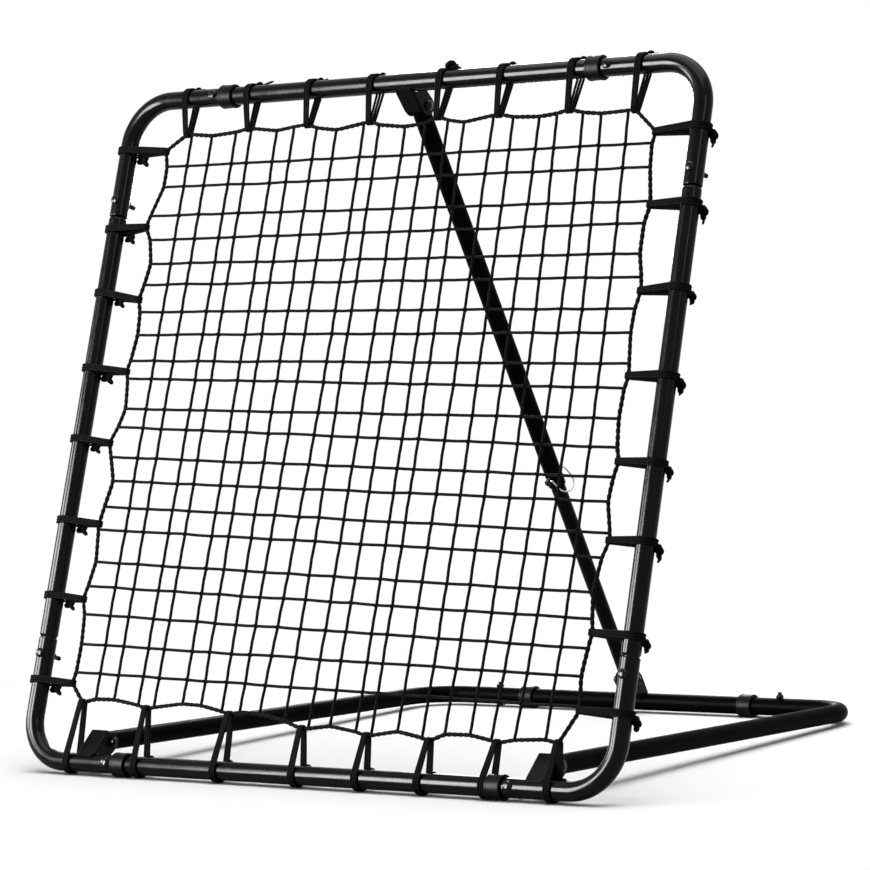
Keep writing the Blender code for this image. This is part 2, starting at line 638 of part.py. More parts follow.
def build_lock(foot, finishes):
    """Lock pin across the strut, with its head in front, and the wire bail that keeps it in."""
    forward = Matrix.Rotation(math.pi / 2, 4, "X")
    at_pin = Matrix.Translation(Z_AXIS * PIN_HEIGHT)
    profile = [
        (0, PIN_HEAD_END),
        (PIN_HEAD_RADIUS - PIN_CHAMFER, PIN_HEAD_END),
        (PIN_HEAD_RADIUS, PIN_HEAD_END - PIN_CHAMFER),
        (PIN_HEAD_RADIUS, PIN_HEAD_BACK),
        (PIN_RADIUS, PIN_HEAD_BACK),
        (PIN_RADIUS, PIN_CHAMFER - PIN_TIP),
        (PIN_RADIUS - PIN_CHAMFER, -PIN_TIP),
        (0, -PIN_TIP),
    ]
    pin = turned("lock_pin", profile, PIN_SIDES, foot, at_pin @ forward, finishes["bolt"])
    sideways = X_AXIS * math.cos(BAIL_TURN) - Z_AXIS * math.sin(BAIL_TURN)
    eye = at_pin @ Matrix.Translation(Y_AXIS * -BAIL_EYE) @ turn_to(Y_AXIS, sideways)
    boolean(pin, cylinder_cutter("bail_eye", BAIL_WIRE + BOLT_PLAY, 4 * PIN_HEAD_RADIUS, foot, eye, sides=8))
    wire = sweep("pin_bail", bail_points(), BAIL_WIRE, 6)
    add_object("pin_bail", wire, foot, eye, finishes["bolt"])


# ---------------------------------------------------------------- net and lacing
def tie_places(length):
    """Places of the ties along a side of the given length, from its middle.

    The outer ones stand clear of the brackets, and the next ones are set from the seams.
    """
    first = length / 2 - FIRST_TIE
    inner = length / 2 - FRAME_SEAM - TIE_SEAM_GAP
    gaps = TIE_COUNT - 3
    return [-first] + [inner * (2 * index / gaps - 1) for index in range(gaps + 1)] + [first]


def net_lines(low, high, length, centre):
    """Places of the net's cords one way: both edges, the ties, and midway between ties."""
    ties = [centre + place for place in tie_places(length)]
    lines = [low, ties[0]]
    for first, second in zip(ties, ties[1:]):
        lines += [(first + second) / 2, second]
    return lines + [high]


def build_net(hinge, finishes):
    """Net of square cord. Its edge is drawn in between the ties."""
    across = net_lines(-NET_HALF_WIDTH, NET_HALF_WIDTH, FRAME_WIDTH, 0)
    upward = net_lines(NET_BOTTOM_GAP, NET_TOP, FRAME_HEIGHT, FRAME_HEIGHT / 2)
    cells = len(across) - 1
    mesh = bpy.data.meshes.new("net")
    shape = bmesh.new()
    bmesh.ops.create_grid(shape, x_segments=cells, y_segments=cells, size=1)
    for corner in shape.verts:
        column = round((corner.co.x + 1) / 2 * cells)
        row = round((corner.co.y + 1) / 2 * cells)
        x = across[column]
        z = upward[row]
        if column in (0, cells) and row % 2 == 0 and 0 < row < cells:
            x -= math.copysign(NET_SCALLOP, x)
        if row in (0, cells) and column % 2 == 0 and 0 < column < cells:
            z += NET_SCALLOP if row == 0 else -NET_SCALLOP
        corner.co = (x, 0, z)
    shape.to_mesh(mesh)
    shape.free()
    piece = add_object("net", mesh, hinge, Matrix.Translation(-HINGE_ON_FRAME), finishes["net"])
    cords = piece.modifiers.new("cords", "WIREFRAME")
    cords.thickness = NET_CORD
    cords.use_even_offset = True
    cords.use_boundary = True
    cords.use_replace = True


def tie_loop(start, along, outward, distance, lay):
    """One tie: out in front of the tube, round it and back behind it, from the net's edge."""
    steps = LACING_STEPS
    clear = TUBE_RADIUS + CORD_TOUCH + LACING_DIAMETER / 2
    spread = math.pi - math.acos(clear / (distance - lay))
    radius = clear / math.cos(spread / steps)
    points = [start - along * (LACING_PINCH / 2) + outward * lay]
    for index in range(steps + 1):
        share = 2 * index / steps - 1
        angle = math.pi + spread * share
        place = start + along * (LACING_PITCH / 2 * share) + outward * (distance - radius * math.cos(angle))
        points.append(place - Y_AXIS * (radius * math.sin(angle)))
    points.append(start + along * (LACING_PINCH / 2) + outward * lay)
    return points


def lacing_path():
    """The lacing's whole way round the net, on the flat frame."""
    lay = NET_CORD / 2 + LACING_DIAMETER / 2 + TOUCH
    right_edge = X_AXIS * NET_HALF_WIDTH + Z_AXIS * FRAME_HEIGHT / 2
    left_edge = -X_AXIS * NET_HALF_WIDTH + Z_AXIS * FRAME_HEIGHT / 2
    sides = (
        (X_AXIS, -Z_AXIS, Z_AXIS * NET_BOTTOM_GAP, NET_BOTTOM_GAP, FRAME_WIDTH),
        (Z_AXIS, X_AXIS, right_edge, NET_SIDE_GAP, FRAME_HEIGHT),
        (-X_AXIS, Z_AXIS, Z_AXIS * NET_TOP, NET_TOP_GAP, FRAME_WIDTH),
        (-Z_AXIS, -X_AXIS, left_edge, NET_SIDE_GAP, FRAME_HEIGHT),
    )
    points = []
    for along, outward, edge, distance, length in sides:
        ties = tie_places(length)
        for index, place in enumerate(ties):
            points += tie_loop(edge + along * place, along, outward, distance, lay)
            if index + 1 < len(ties):
                halfway = (place + ties[index + 1]) / 2
                points.append(edge + along * halfway + outward * (lay - NET_SCALLOP))
        points.append(net_corner(along, outward, lay))
    return points


def net_corner(along, outward, lay):
    """The lacing's turn at the corner where a side ends, going round anticlockwise."""
    diagonal = along + outward
    x = math.copysign(NET_HALF_WIDTH + lay, diagonal.x)
    z = NET_TOP + lay if diagonal.z > 0 else NET_BOTTOM_GAP - lay
    return Vector((x, 0, z))


def least_gap(points, diameter, step=0.002):
    """Least gap between stretches of a closed cord that lie apart along it."""
    samples = []
    places = []
    travelled = 0
    for first, second in zip(points, points[1:] + points[:1]):
        length = (second - first).length
        count = max(1, round(length / step))
        for index in range(count):
            samples.append(first.lerp(second, index / count))
            places.append(travelled + length * index / count)
        travelled += length
    samples = np.array([tuple(sample) for sample in samples])
    places = np.array(places)
    least = math.inf
    for sample, place in zip(samples, places):
        apart = np.abs(places - place)
        apart = np.minimum(apart, travelled - apart)
        others = samples[apart > 5 * diameter]
        least = min(least, np.sqrt(((others - sample) ** 2).sum(axis=1)).min() - diameter)
    return least, travelled


def build_lacing(hinge, finishes):
    """One unbroken cord that follows the net's edge and ties it to the frame all round."""
    points = lacing_path()
    gap, length = least_gap(points, LACING_DIAMETER)
    print(f"edge_lacing: {length:.3f} m long, least gap to itself {gap * 1000:.2f} mm")
    cord = sweep("edge_lacing", points, LACING_DIAMETER / 2, 4, closed=True)
    add_object("edge_lacing", cord, hinge, Matrix.Translation(-HINGE_ON_FRAME), finishes["lacing"])


# ---------------------------------------------------------------- the object
def main():
    for item in list(bpy.data.objects):
        bpy.data.objects.remove(item)
    bpy.context.scene.collection.children.link(parts)
    bpy.context.scene.collection.children.link(cutters)
    finishes = {
        "enamel": finish("black_enamel", (0.02, 0.02, 0.022), 0.25, 0.0),
        "bracket": finish("bracket_enamel", (0.02, 0.02, 0.022), 0.3, 0.0),
        "inner": finish("inner_strut_enamel", (0.03, 0.03, 0.032), 0.3, 0.0),
        "bolt": finish("black_zinc", (0.08, 0.08, 0.085), 0.3, 0.9),
        "plastic": finish("black_plastic", (0.02, 0.02, 0.02), 0.5, 0.0),
        "net": finish("net_cord", (0.015, 0.015, 0.016), 0.8, 0.0),
        "lacing": finish("lacing_cord", (0.015, 0.015, 0.016), 0.8, 0.0),
    }
    hinge = empty("frame_hinge", HINGE, -FRAME_LEAN)
    base = empty("base_origin", REAR_RAIL, -ARM_SLOPE)
    foot = empty("strut_foot_pivot", STRUT_FOOT, STRUT_TILT)
    build_frame(hinge, finishes)
    build_collars(hinge, base, finishes)
    build_base(base, finishes)
    build_brackets(hinge, base, finishes)
    build_strut(foot, finishes)
    build_lock(foot, finishes)
    build_net(hinge, finishes)
    build_lacing(hinge, finishes)
    bpy.context.view_layer.update()
    for label, place in (("hinge", HINGE), ("strut top", STRUT_TOP), ("strut foot", STRUT_FOOT)):
        print(f"{label}: {place.x:.5f} {place.y:.5f} {place.z:.5f}")
    print(f"strut: {STRUT_LENGTH:.5f} m long, {math.degrees(STRUT_TILT):.4f} degrees from upright")


main()
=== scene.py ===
"""Looks of the pitch back rebounder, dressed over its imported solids.

Metres, +Z up, the net facing -Y. Most pieces are drawn in one of three sets of local axes:
the panel (X across, Y behind the net, Z up the leaning frame from the bottom rail), the base
(from the middle of the rear rail) and the strut (Z along it from its foot pivot).
"""
import logging
import math
import random
from dataclasses import dataclass, field
from enum import Enum
from typing import Iterable, Optional, Sequence

import bmesh
import bpy
from mathutils import Matrix, Vector


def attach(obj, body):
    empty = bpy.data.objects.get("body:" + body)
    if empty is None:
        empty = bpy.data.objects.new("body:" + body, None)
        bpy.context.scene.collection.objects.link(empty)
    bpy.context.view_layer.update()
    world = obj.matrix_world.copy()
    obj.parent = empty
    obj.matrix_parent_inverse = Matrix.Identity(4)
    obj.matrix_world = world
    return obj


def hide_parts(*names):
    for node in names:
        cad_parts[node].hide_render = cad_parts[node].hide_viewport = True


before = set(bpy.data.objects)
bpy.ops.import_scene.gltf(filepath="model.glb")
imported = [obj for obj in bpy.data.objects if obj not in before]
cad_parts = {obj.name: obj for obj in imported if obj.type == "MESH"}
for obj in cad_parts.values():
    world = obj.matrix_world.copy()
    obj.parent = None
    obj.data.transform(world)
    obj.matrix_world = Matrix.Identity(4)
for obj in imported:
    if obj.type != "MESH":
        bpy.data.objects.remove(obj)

LOG = logging.getLogger("pitch_back")
Point = tuple[float, float]
Colour = tuple[float, float, float]
Shape = bmesh.types.BMesh
Vert = bmesh.types.BMVert
Socket = bpy.types.NodeSocket
X_AXIS = Vector((1, 0, 0))
Y_AXIS = Vector((0, 1, 0))
Z_AXIS = Vector((0, 0, 1))
IDENTITY = Matrix.Identity(4)
FULL_TURN = 2 * math.pi
TURN_SEAM = 0.000002  # closer points are one where a turned shape meets itself
CUT_SEAM = 0.000005  # closer points are one where a shape was cut
THROUGH = 0.05  # length of a cutter that goes right through a tube or a bracket
TUBE_SIDES = 48
SMALL_SIDES = 40  # of holes and of small turned parts
DRILLED_EDGE = 0.00025  # rounding on the rims and holes of the tubes that are cut


# ------------------------------------------------------------------------------- choices
class Body(Enum):
    """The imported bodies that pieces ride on."""

    BASE = "base"
    FRAME = "frame"
    STRUT_LOWER = "strut_lower"
    STRUT_UPPER = "strut_upper"
    BAIL = "bail"


class Slot(Enum):
    """The record's material slots."""

    ENAMEL = "enamel"
    STRUT_ENAMEL = "strut_enamel"
    BRACKET_ENAMEL = "bracket_enamel"
    FASTENER = "fastener"
    COLLAR_PLASTIC = "collar_plastic"
    NET_CORD = "net_cord"
    LACING_CORD = "lacing_cord"


class Special(Enum):
    """Finishes that some pieces of a slot have instead of the slot's own."""

    # A darker, less reflective copy of the gloss powder coat: painted shade on the rear rail, arms and outer
    # strut behind the frame.
    SHADE_COAT = "matt_powder_coat"
    BRIGHT_ZINC = "bright_zinc"


class Cut(Enum):
    """What a carving leaves of a shape."""

    AWAY = "DIFFERENCE"
    COMMON = "INTERSECT"


# ------------------------------------------------------------------------------- shared sizes
@dataclass(frozen=True)
class Layout:
    """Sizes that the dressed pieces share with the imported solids."""

    frame_half: float = 0.4675
    frame_height: float = 0.935
    lean: float = math.radians(18.0)
    rail_y: float = 0.402
    rail_z: float = 0.016
    tube_radius: float = 0.0125
    tube_wall: float = 0.0012
    bend_radius: float = 0.062
    frame_seam: float = 0.167
    frame_bolt: float = 0.145
    arm_half: float = 0.360
    arm_length: float = 0.77324
    arm_slope: float = math.radians(1.861)
    rear_seam: float = 0.173
    rear_bolt: float = 0.120
    strut_length: float = 0.94832
    strut_tilt: float = math.radians(29.5624)
    strut_foot_y: float = 0.38088
    strut_foot_z: float = 0.05
    pin_height: float = 0.355
    pivot_hole: float = 0.0043
    touch: float = 0.0003

    @property
    def panel(self) -> Matrix:
        """Takes the panel's axes to the world."""
        place = Matrix.Translation((0, -self.rail_y, self.rail_z))
        return place @ Matrix.Rotation(-self.lean, 4, "X")

    @property
    def base(self) -> Matrix:
        """Takes the base's axes to the world."""
        place = Matrix.Translation((0, self.rail_y, self.rail_z))
        return place @ Matrix.Rotation(-self.arm_slope, 4, "X")

    @property
    def strut(self) -> Matrix:
        """Takes the strut's axes to the world."""
        place = Matrix.Translation((0, self.strut_foot_y, self.strut_foot_z))
        return place @ Matrix.Rotation(self.strut_tilt, 4, "X")


LAYOUT = Layout()


# ------------------------------------------------------------------------------- shaping
def axes(x_axis: Vector, y_axis: Vector, place: Optional[Vector] = None) -> Matrix:
    """Matrix of a set of local axes.

    Args:
        x_axis: where local X points.
        y_axis: where local Y points.
        place: the local origin, or none for zero.

    Returns:
        The matrix that takes local points out.
    """
    turn = Matrix((x_axis, y_axis, x_axis.cross(y_axis))).transposed().to_4x4()
    return Matrix.Translation(place or Vector()) @ turn


def facing(direction: Vector, place: Vector) -> Matrix:
    """Axes at a place with local Z along a direction.

    Args:
        direction: where local Z points.
        place: the local origin.

    Returns:
        The matrix that takes local points out.
    """
    along = direction.normalized()
    side = along.orthogonal().normalized()
    return axes(side, along.cross(side), place)


def arc(centre: Point, radius: float, start: float, stop: float, steps: int) -> list[Point]:
    """Points on an arc.

    Args:
        centre: middle of the arc.
        radius: its radius.
        start: first angle in degrees.
        stop: last angle in degrees.
        steps: how many parts it is cut into.

    Returns:
        The points, both ends included.
    """
    angles = (math.radians(start + (stop - start) * step / steps) for step in range(steps + 1))
    return [(centre[0] + radius * math.cos(a), centre[1] + radius * math.sin(a)) for a in angles]


def ring_edges(ring: Sequence[Vert]) -> list[bmesh.types.BMEdge]:
    """The edges that join the given vertices to each other."""
    members = set(ring)
    return list({e for v in ring for e in v.link_edges if e.other_vert(v) in members})


def verts_in(items: Iterable[object]) -> list[Vert]:
    """The vertices among an operator's results."""
    return [item for item in items if isinstance(item, Vert)]


def spun(
    shape: Shape, items: Sequence[object], centre: Sequence[float], axis: Vector, angle: float, steps: int
) -> list[Vert]:
    """Draws part of a shape round an axis.

    Args:
        shape: what it belongs to.
        items: the vertices and edges that are drawn round.
        centre: a point on the axis.
        axis: the axis.
        angle: how far it goes. A full turn is closed.
        steps: how many parts it is cut into.

    Returns:
        The vertices at the far end.
    """
    made = bmesh.ops.spin(
        shape, geom=items, cent=centre, axis=axis, dvec=(0, 0, 0), angle=angle, space=IDENTITY, steps=steps,
        use_merge=angle == FULL_TURN, use_normal_flip=False, use_duplicate=False,
    )
    return verts_in(made["geom_last"])


def turned(profile: Sequence[Point], matrix: Matrix, steps: int = TUBE_SIDES) -> Shape:
    """Turns a section round local Z, as a lathe does.

    Args:
        profile: (radius, height) points, closed where it doesn't start and end on the axis.
        matrix: where the turned shape goes.
        steps: how many parts a full turn has.

    Returns:
        A closed shape.
    """
    shape = bmesh.new()
    corners = [shape.verts.new((radius, 0, height)) for radius, height in profile]
    edges = [shape.edges.new(pair) for pair in zip(corners, corners[1:])]
    if profile[0][0] > 0:
        edges.append(shape.edges.new((corners[-1], corners[0])))
    spun(shape, corners + edges, (0, 0, 0), Z_AXIS, FULL_TURN, steps)
    bmesh.ops.remove_doubles(shape, verts=shape.verts, dist=TURN_SEAM)
    bmesh.ops.recalc_face_normals(shape, faces=shape.faces)
    bmesh.ops.transform(shape, matrix=matrix, verts=shape.verts)
    return shape


def prism(outline: Sequence[Point], depth: float, matrix: Matrix) -> Shape:
    """Straight block with a flat outline.

    Args:
        outline: (x, y) points of the outline.
        depth: its whole length along local Z, centred on zero.
        matrix: where the block goes.

    Returns:
        A closed shape.
    """
    shape = bmesh.new()
    corners = [shape.verts.new((x, y, -depth / 2)) for x, y in outline]
    face = shape.faces.new(corners)
    made = bmesh.ops.extrude_face_region(shape, geom=[face], use_keep_orig=True)
    bmesh.ops.translate(shape, vec=(0, 0, depth), verts=verts_in(made["geom"]))
    bmesh.ops.recalc_face_normals(shape, faces=shape.faces)
    bmesh.ops.transform(shape, matrix=matrix, verts=shape.verts)
    return shape


def rod(radius: float, matrix: Matrix, sides: int = SMALL_SIDES, length: float = THROUGH) -> Shape:
    """Round bar along local Z, centred on zero.

    Args:
        radius: its radius.
        matrix: where it goes.
        sides: how many sides its section has.
        length: its whole length.

    Returns:
        A closed shape.
    """
    shape = bmesh.new()
    bmesh.ops.create_cone(
        shape, cap_ends=True, segments=sides, radius1=radius, radius2=radius, depth=length, matrix=matrix
    )
    return shape


def as_mesh(shape: Shape, name: str) -> bpy.types.Mesh:
    """Turns a shape into a mesh.

    Args:
        shape: the shape. It is used up.
        name: the mesh's name.

    Returns:
        The mesh.
    """
    mesh = bpy.data.meshes.new(name)
    shape.to_mesh(mesh)
    shape.free()
    return mesh


def as_object(shape: Shape, name: str) -> bpy.types.Object:
    """Puts a shape in the scene as a plain object.

    Args:
        shape: the shape. It is used up.
        name: the object's name.

    Returns:
        The object.
    """
    item = bpy.data.objects.new(name, as_mesh(shape, name))
    bpy.context.scene.collection.objects.link(item)
    return item


def pour(shape: Shape, whole: Shape) -> None:
    """Adds a shape to another.

    Args:
        shape: what is added. It is used up.
        whole: what it is added to.
    """
    mesh = as_mesh(shape, "poured")
    whole.from_mesh(mesh)
    bpy.data.meshes.remove(mesh)


def carve(shape: Shape, cutters: Iterable[Shape], cut: Cut = Cut.AWAY) -> Shape:
    """Cuts a closed shape with others.

    Args:
        shape: what is cut. It is used up.
        cutters: the cutting shapes. They are used up.
        cut: what is kept.

    Returns:
        The cut shape.
    """
    blank = as_object(shape, "blank")
    tools = [as_object(cutter, "cutter") for cutter in cutters]
    for tool in tools:
        modifier = blank.modifiers.new("cut", "BOOLEAN")
        modifier.operation = cut.value
        modifier.solver = "EXACT"
        modifier.object = tool
    bpy.context.view_layer.update()
    graph = bpy.context.evaluated_depsgraph_get()
    mesh = bpy.data.meshes.new_from_object(blank.evaluated_get(graph))
    for item in [blank] + tools:
        bpy.data.objects.remove(item)
    result = bmesh.new()
    result.from_mesh(mesh)
    bpy.data.meshes.remove(mesh)
    bmesh.ops.remove_doubles(result, verts=result.verts, dist=CUT_SEAM)
    return result


class TubeRun:
    """A round hollow tube drawn out ring by ring, as straight lengths, bends and swages."""

    near_end = 0.0015
    swage_steps = 6
    bend_steps = 18

    def __init__(self, start: Matrix, radius: float, wall: float) -> None:
        """Starts a tube.

        Args:
            start: axes of its first end, with local Z the way it is drawn.
            radius: outer radius.
            wall: thickness of its wall.
        """
        self.shape = bmesh.new()
        self.pose = start.copy()
        self.radius = radius
        self.wall = wall
        outer = bmesh.ops.create_circle(
            self.shape, cap_ends=False, segments=TUBE_SIDES, radius=radius, matrix=start
        )["verts"]
        self.rings = [outer, self._inward(outer)]
        self.rims = ring_edges(self.rings[0]) + ring_edges(self.rings[1])

    def _extruded(self, ring: list[Vert]) -> list[Vert]:
        """Draws a new ring off the given one."""
        made = bmesh.ops.extrude_edge_only(self.shape, edges=ring_edges(ring))
        return verts_in(made["geom"])

    def _resize(self, ring: list[Vert], share: float) -> None:
        """Makes a ring larger or smaller round the tube's centre line."""
        scale = self.pose @ Matrix.Diagonal((share, share, 1, 1)) @ self.pose.inverted()
        bmesh.ops.transform(self.shape, matrix=scale, verts=ring)

    def _inward(self, outer: list[Vert]) -> list[Vert]:
        """Draws the flat end of the wall in from the outer skin.

        Args:
            outer: the outer skin's ring.

        Returns:
            The inner skin's ring.
        """
        inner = self._extruded(outer)
        self._resize(inner, 1 - self.wall / self.radius)
        return inner

    def _draw(self, step: float) -> None:
        """Draws both skins out.

        Args:
            step: how far.
        """
        vector = self.pose.to_3x3() @ Vector((0, 0, step))
        for index, ring in enumerate(self.rings):
            self.rings[index] = self._extruded(ring)
            bmesh.ops.translate(self.shape, vec=vector, verts=self.rings[index])
        self.pose = Matrix.Translation(vector) @ self.pose

    def straight(self, length: float) -> "TubeRun":
        """Draws a straight length, with a ring close to each end that keeps its shading straight.

        Args:
            length: how far.

        Returns:
            The run itself.
        """
        for step in (self.near_end, length - 2 * self.near_end, self.near_end):
            self._draw(step)
        return self

    def swage(self, length: float, radius: float) -> "TubeRun":
        """Draws a smooth change of size.

        Args:
            length: how far along the tube it takes.
            radius: outer radius at its end.

        Returns:
            The run itself.
        """
        first = self.radius
        for step in range(1, self.swage_steps + 1):
            share = 0.5 - 0.5 * math.cos(math.pi * step / self.swage_steps)
            target = first + (radius - first) * share
            self._draw(length / self.swage_steps)
            skins = ((target, self.radius), (target - self.wall, self.radius - self.wall))
            for ring, (new, old) in zip(self.rings, skins):
                self._resize(ring, new / old)
            self.radius = target
        return self

    def bend(self, towards: Vector, radius: float) -> "TubeRun":
        """Draws a right-angled bend.

        Args:
            towards: direction from the tube to the bend's centre.
            radius: of the tube's centre line.

        Returns:
            The run itself.
        """
        centre = self.pose.translation + towards * radius
        axis = (self.pose.to_3x3() @ Z_AXIS).cross(towards)
        angle = math.pi / 2
        for index, ring in enumerate(self.rings):
            items = ring + ring_edges(ring)
            self.rings[index] = spun(self.shape, items, centre, axis, angle, self.bend_steps)
        turn = Matrix.Rotation(angle, 4, axis)
        self.pose = Matrix.Translation(centre) @ turn @ Matrix.Translation(-centre) @ self.pose
        return self

    def close(self, edge: float = 0.0003) -> Shape:
        """Joins the two skins at both ends and rounds the rims.

        Args:
            edge: width of the rounding, or zero.

        Returns:
            The finished closed tube.
        """
        outer, inner = self.rings
        loose = self._inward(outer)
        joint = {v: min(inner, key=lambda other: (other.co - v.co).length) for v in loose}
        bmesh.ops.weld_verts(self.shape, targetmap=joint)
        rims = self.rims + ring_edges(outer) + ring_edges(inner)
        bmesh.ops.recalc_face_normals(self.shape, faces=self.shape.faces)
        if edge:
            bmesh.ops.bevel(
                self.shape, geom=rims, offset=edge, offset_type="OFFSET", affect="EDGES",
                segments=2, profile=0.5, material=-1, clamp_overlap=True,
            )
        return self.shape


class Strand:
    """Cords swept ring by ring. Their UV map runs once round them, and in metres along them."""

    tip_share = 0.55  # a tapered tip's radius, of the cord's

    def __init__(self, sides: int = 8) -> None:
        """Starts with nothing laid, for cords whose sections have the given sides."""
        self.sides = sides
        self.whole = bmesh.new()

    def lay(
        self, points: Sequence[Vector], radius: float, closed: bool = False, taper: bool = False
    ) -> "Strand":
        """Sweeps one cord along a line of points.

        Args:
            points: its centre line.
            radius: its radius.
            closed: whether its end meets its start.
            taper: whether both ends draw in to a blunt tip.

        Returns:
            The strand itself.
        """
        cord = bmesh.new()
        along = cord.verts.layers.float.new("along")
        place = cord.verts.layers.int.new("place")
        travelled = 0.0
        first = ring = last = None
        for index, pose in enumerate(self._poses(points, closed)):
            tip = taper and index in (0, len(points) - 1)
            size = radius * self.tip_share if tip else radius
            pose = pose @ Matrix.Diagonal((size, size, 1, 1))
            if ring is None:
                made = bmesh.ops.create_circle(
                    cord, cap_ends=False, segments=self.sides, radius=1, matrix=pose
                )
                first = ring = made["verts"]
                for slot, vert in enumerate(ring):
                    vert[place] = slot
            else:
                travelled += (points[index] - points[index - 1]).length
                made = bmesh.ops.extrude_edge_only(cord, edges=ring_edges(ring))
                ring = verts_in(made["geom"])
                bmesh.ops.transform(cord, matrix=pose @ last.inverted(), verts=ring)
            for vert in ring:
                vert[along] = travelled
            last = pose
        if closed:
            bmesh.ops.bridge_loops(cord, edges=ring_edges(first) + ring_edges(ring))
        else:
            for rim in (first, ring):
                bmesh.ops.edgeloop_fill(cord, edges=ring_edges(rim))
        bmesh.ops.recalc_face_normals(cord, faces=cord.faces)
        self._map(cord)
        pour(cord, self.whole)
        return self

    def _map(self, cord: Shape) -> None:
        """Lays out one cord's UV map, without a smear where it closes round.

        Args:
            cord: the cord, whose vertices know their place round it and along it.
        """
        flat = cord.loops.layers.uv.new("UVMap")
        along = cord.verts.layers.float["along"]
        place = cord.verts.layers.int["place"]
        for face in cord.faces:
            slots = [loop.vert[place] for loop in face.loops]
            wraps = max(slots) == self.sides - 1 and min(slots) == 0
            for loop, slot in zip(face.loops, slots):
                turn = self.sides if wraps and slot == 0 else slot
                loop[flat].uv = (turn / self.sides, loop.vert[along])

    @staticmethod
    def _poses(points: Sequence[Vector], closed: bool) -> list[Matrix]:
        """Axes at every point, with local Z along the cord and no needless twist.

        Args:
            points: the cord's centre line.
            closed: whether its end meets its start.

        Returns:
            One matrix a point.
        """
        count = len(points)
        poses = []
        side = None
        for index, point in enumerate(points):
            before = points[index - 1] if index or closed else point
            after = points[(index + 1) % count] if index + 1 < count or closed else point
            ahead = (after - before).normalized()
            if side is None:
                side = X_AXIS if abs(ahead.dot(X_AXIS)) < 0.9 else Z_AXIS
            side = (side - ahead * ahead.dot(side)).normalized()
            poses.append(axes(side, ahead.cross(side), point))
        return poses

    def finish(self, matrix: Matrix) -> Shape:
        """Places the cords and gives them back as one shape."""
        bmesh.ops.transform(self.whole, matrix=matrix, verts=self.whole.verts)
        return self.whole


def smoothed(points: Sequence[Vector], rounds: int) -> list[Vector]:
    """Eases the corners of a closed line of points.

    Args:
        points: the line.
        rounds: how many times it is eased.

    Returns:
        The eased line.
    """
    line = list(points)
    count = len(line)
    for _ in range(rounds):
        line = [(line[i - 1] + line[i] * 2 + line[(i + 1) % count]) / 4 for i in range(count)]
    return line


def resampled(points: Sequence[Vector], step: float, closed: bool = False) -> list[Vector]:
    """Sets points at even distances along a line.

    Args:
        points: the line.
        step: the wanted distance.
        closed: whether its end meets its start.

    Returns:
        The new points. A closed line doesn't repeat its first one.
    """
    line = list(points) + ([points[0]] if closed else [])
    reach = [0.0]
    for first, second in zip(line, line[1:]):
        reach.append(reach[-1] + (second - first).length)
    count = max(2, round(reach[-1] / step))
    made = []
    stretch = 0
    for index in range(count if closed else count + 1):
        target = reach[-1] * index / count
        while stretch + 2 < len(reach) and reach[stretch + 1] < target:
            stretch += 1
        length = reach[stretch + 1] - reach[stretch]
        share = (target - reach[stretch]) / length if length else 0.0
        made.append(line[stretch].lerp(line[stretch + 1], share))
    return made


# ------------------------------------------------------------------------------- finishes
class NodeBench:
    """Adds and joins the nodes of one material."""

    def __init__(self, name: str) -> None:
        """Starts a material with its shader.

        Args:
            name: the material's name.
        """
        self.material = bpy.data.materials.new(name)
        self.material.use_nodes = True
        self.tree = self.material.node_tree
        self.shader = self.tree.nodes["Principled BSDF"]

    def feed(self, node: bpy.types.Node, socket: str | int, value: object) -> None:
        """Sets a node's input, or joins it to another node's output.

        Args:
            node: the node that takes it.
            socket: the input's name or number.
            value: a number, a colour or an output socket.
        """
        if isinstance(value, Socket):
            self.tree.links.new(value, node.inputs[socket])
        else:
            node.inputs[socket].default_value = value

    def add(self, kind: str, inputs: dict, output: str | int = 0, **settings: object) -> Socket:
        """Adds a node.

        Args:
            kind: Blender's name for the node.
            inputs: what its inputs take, by name or number.
            output: which output is wanted.
            **settings: its other settings.

        Returns:
            The wanted output socket.
        """
        node = self.tree.nodes.new(kind)
        for name, value in settings.items():
            setattr(node, name, value)
        for socket, value in inputs.items():
            self.feed(node, socket, value)
        return node.outputs[output]

    def place(self) -> Socket:
        """Where a point is on the object."""
        return self.add("ShaderNodeTexCoord", {}, "Object")

    def noise(self, vector: Socket, scale: float, detail: float = 3, roughness: float = 0.5) -> Socket:
        """A noise pattern, from 0 to 1."""
        inputs = {"Vector": vector, "Scale": scale, "Detail": detail, "Roughness": roughness}
        return self.add("ShaderNodeTexNoise", inputs)

    def span(self, value: Socket, low: float, high: float, to_low: float, to_high: float) -> Socket:
        """Moves a span of values to another span, and holds it there."""
        inputs = {"Value": value, "From Min": low, "From Max": high, "To Min": to_low, "To Max": to_high}
        return self.add("ShaderNodeMapRange", inputs)

    def math(self, operation: str, first: object, second: object = 0.0) -> Socket:
        """One sum."""
        return self.add("ShaderNodeMath", {0: first, 1: second}, operation=operation)

    def blend(self, share: Socket, low: Colour, high: Colour) -> Socket:
        """Mixes two colours by a share."""
        inputs = {"Factor": share, 6: (*low, 1), 7: (*high, 1)}
        return self.add("ShaderNodeMix", inputs, 2, data_type="RGBA")

    def bump(
        self, height: Socket, distance: float, strength: float = 1.0, over: Optional[Socket] = None
    ) -> Socket:
        """Relief from a height pattern.

        Args:
            height: the pattern.
            distance: how far one stands out, in metres.
            strength: how much of it shows.
            over: other relief that it lies on, or none.

        Returns:
            The shading direction.
        """
        inputs = {"Height": height, "Distance": distance, "Strength": strength}
        if over is not None:
            inputs["Normal"] = over
        return self.add("ShaderNodeBump", inputs)

    def dress(self, **sockets: object) -> bpy.types.Material:
        """Feeds the shader and gives the material back.

        Args:
            **sockets: the shader's inputs, with _ for spaces.

        Returns:
            The finished material.
        """
        for name, value in sockets.items():
            self.feed(self.shader, name.replace("_", " "), value)
        return self.material


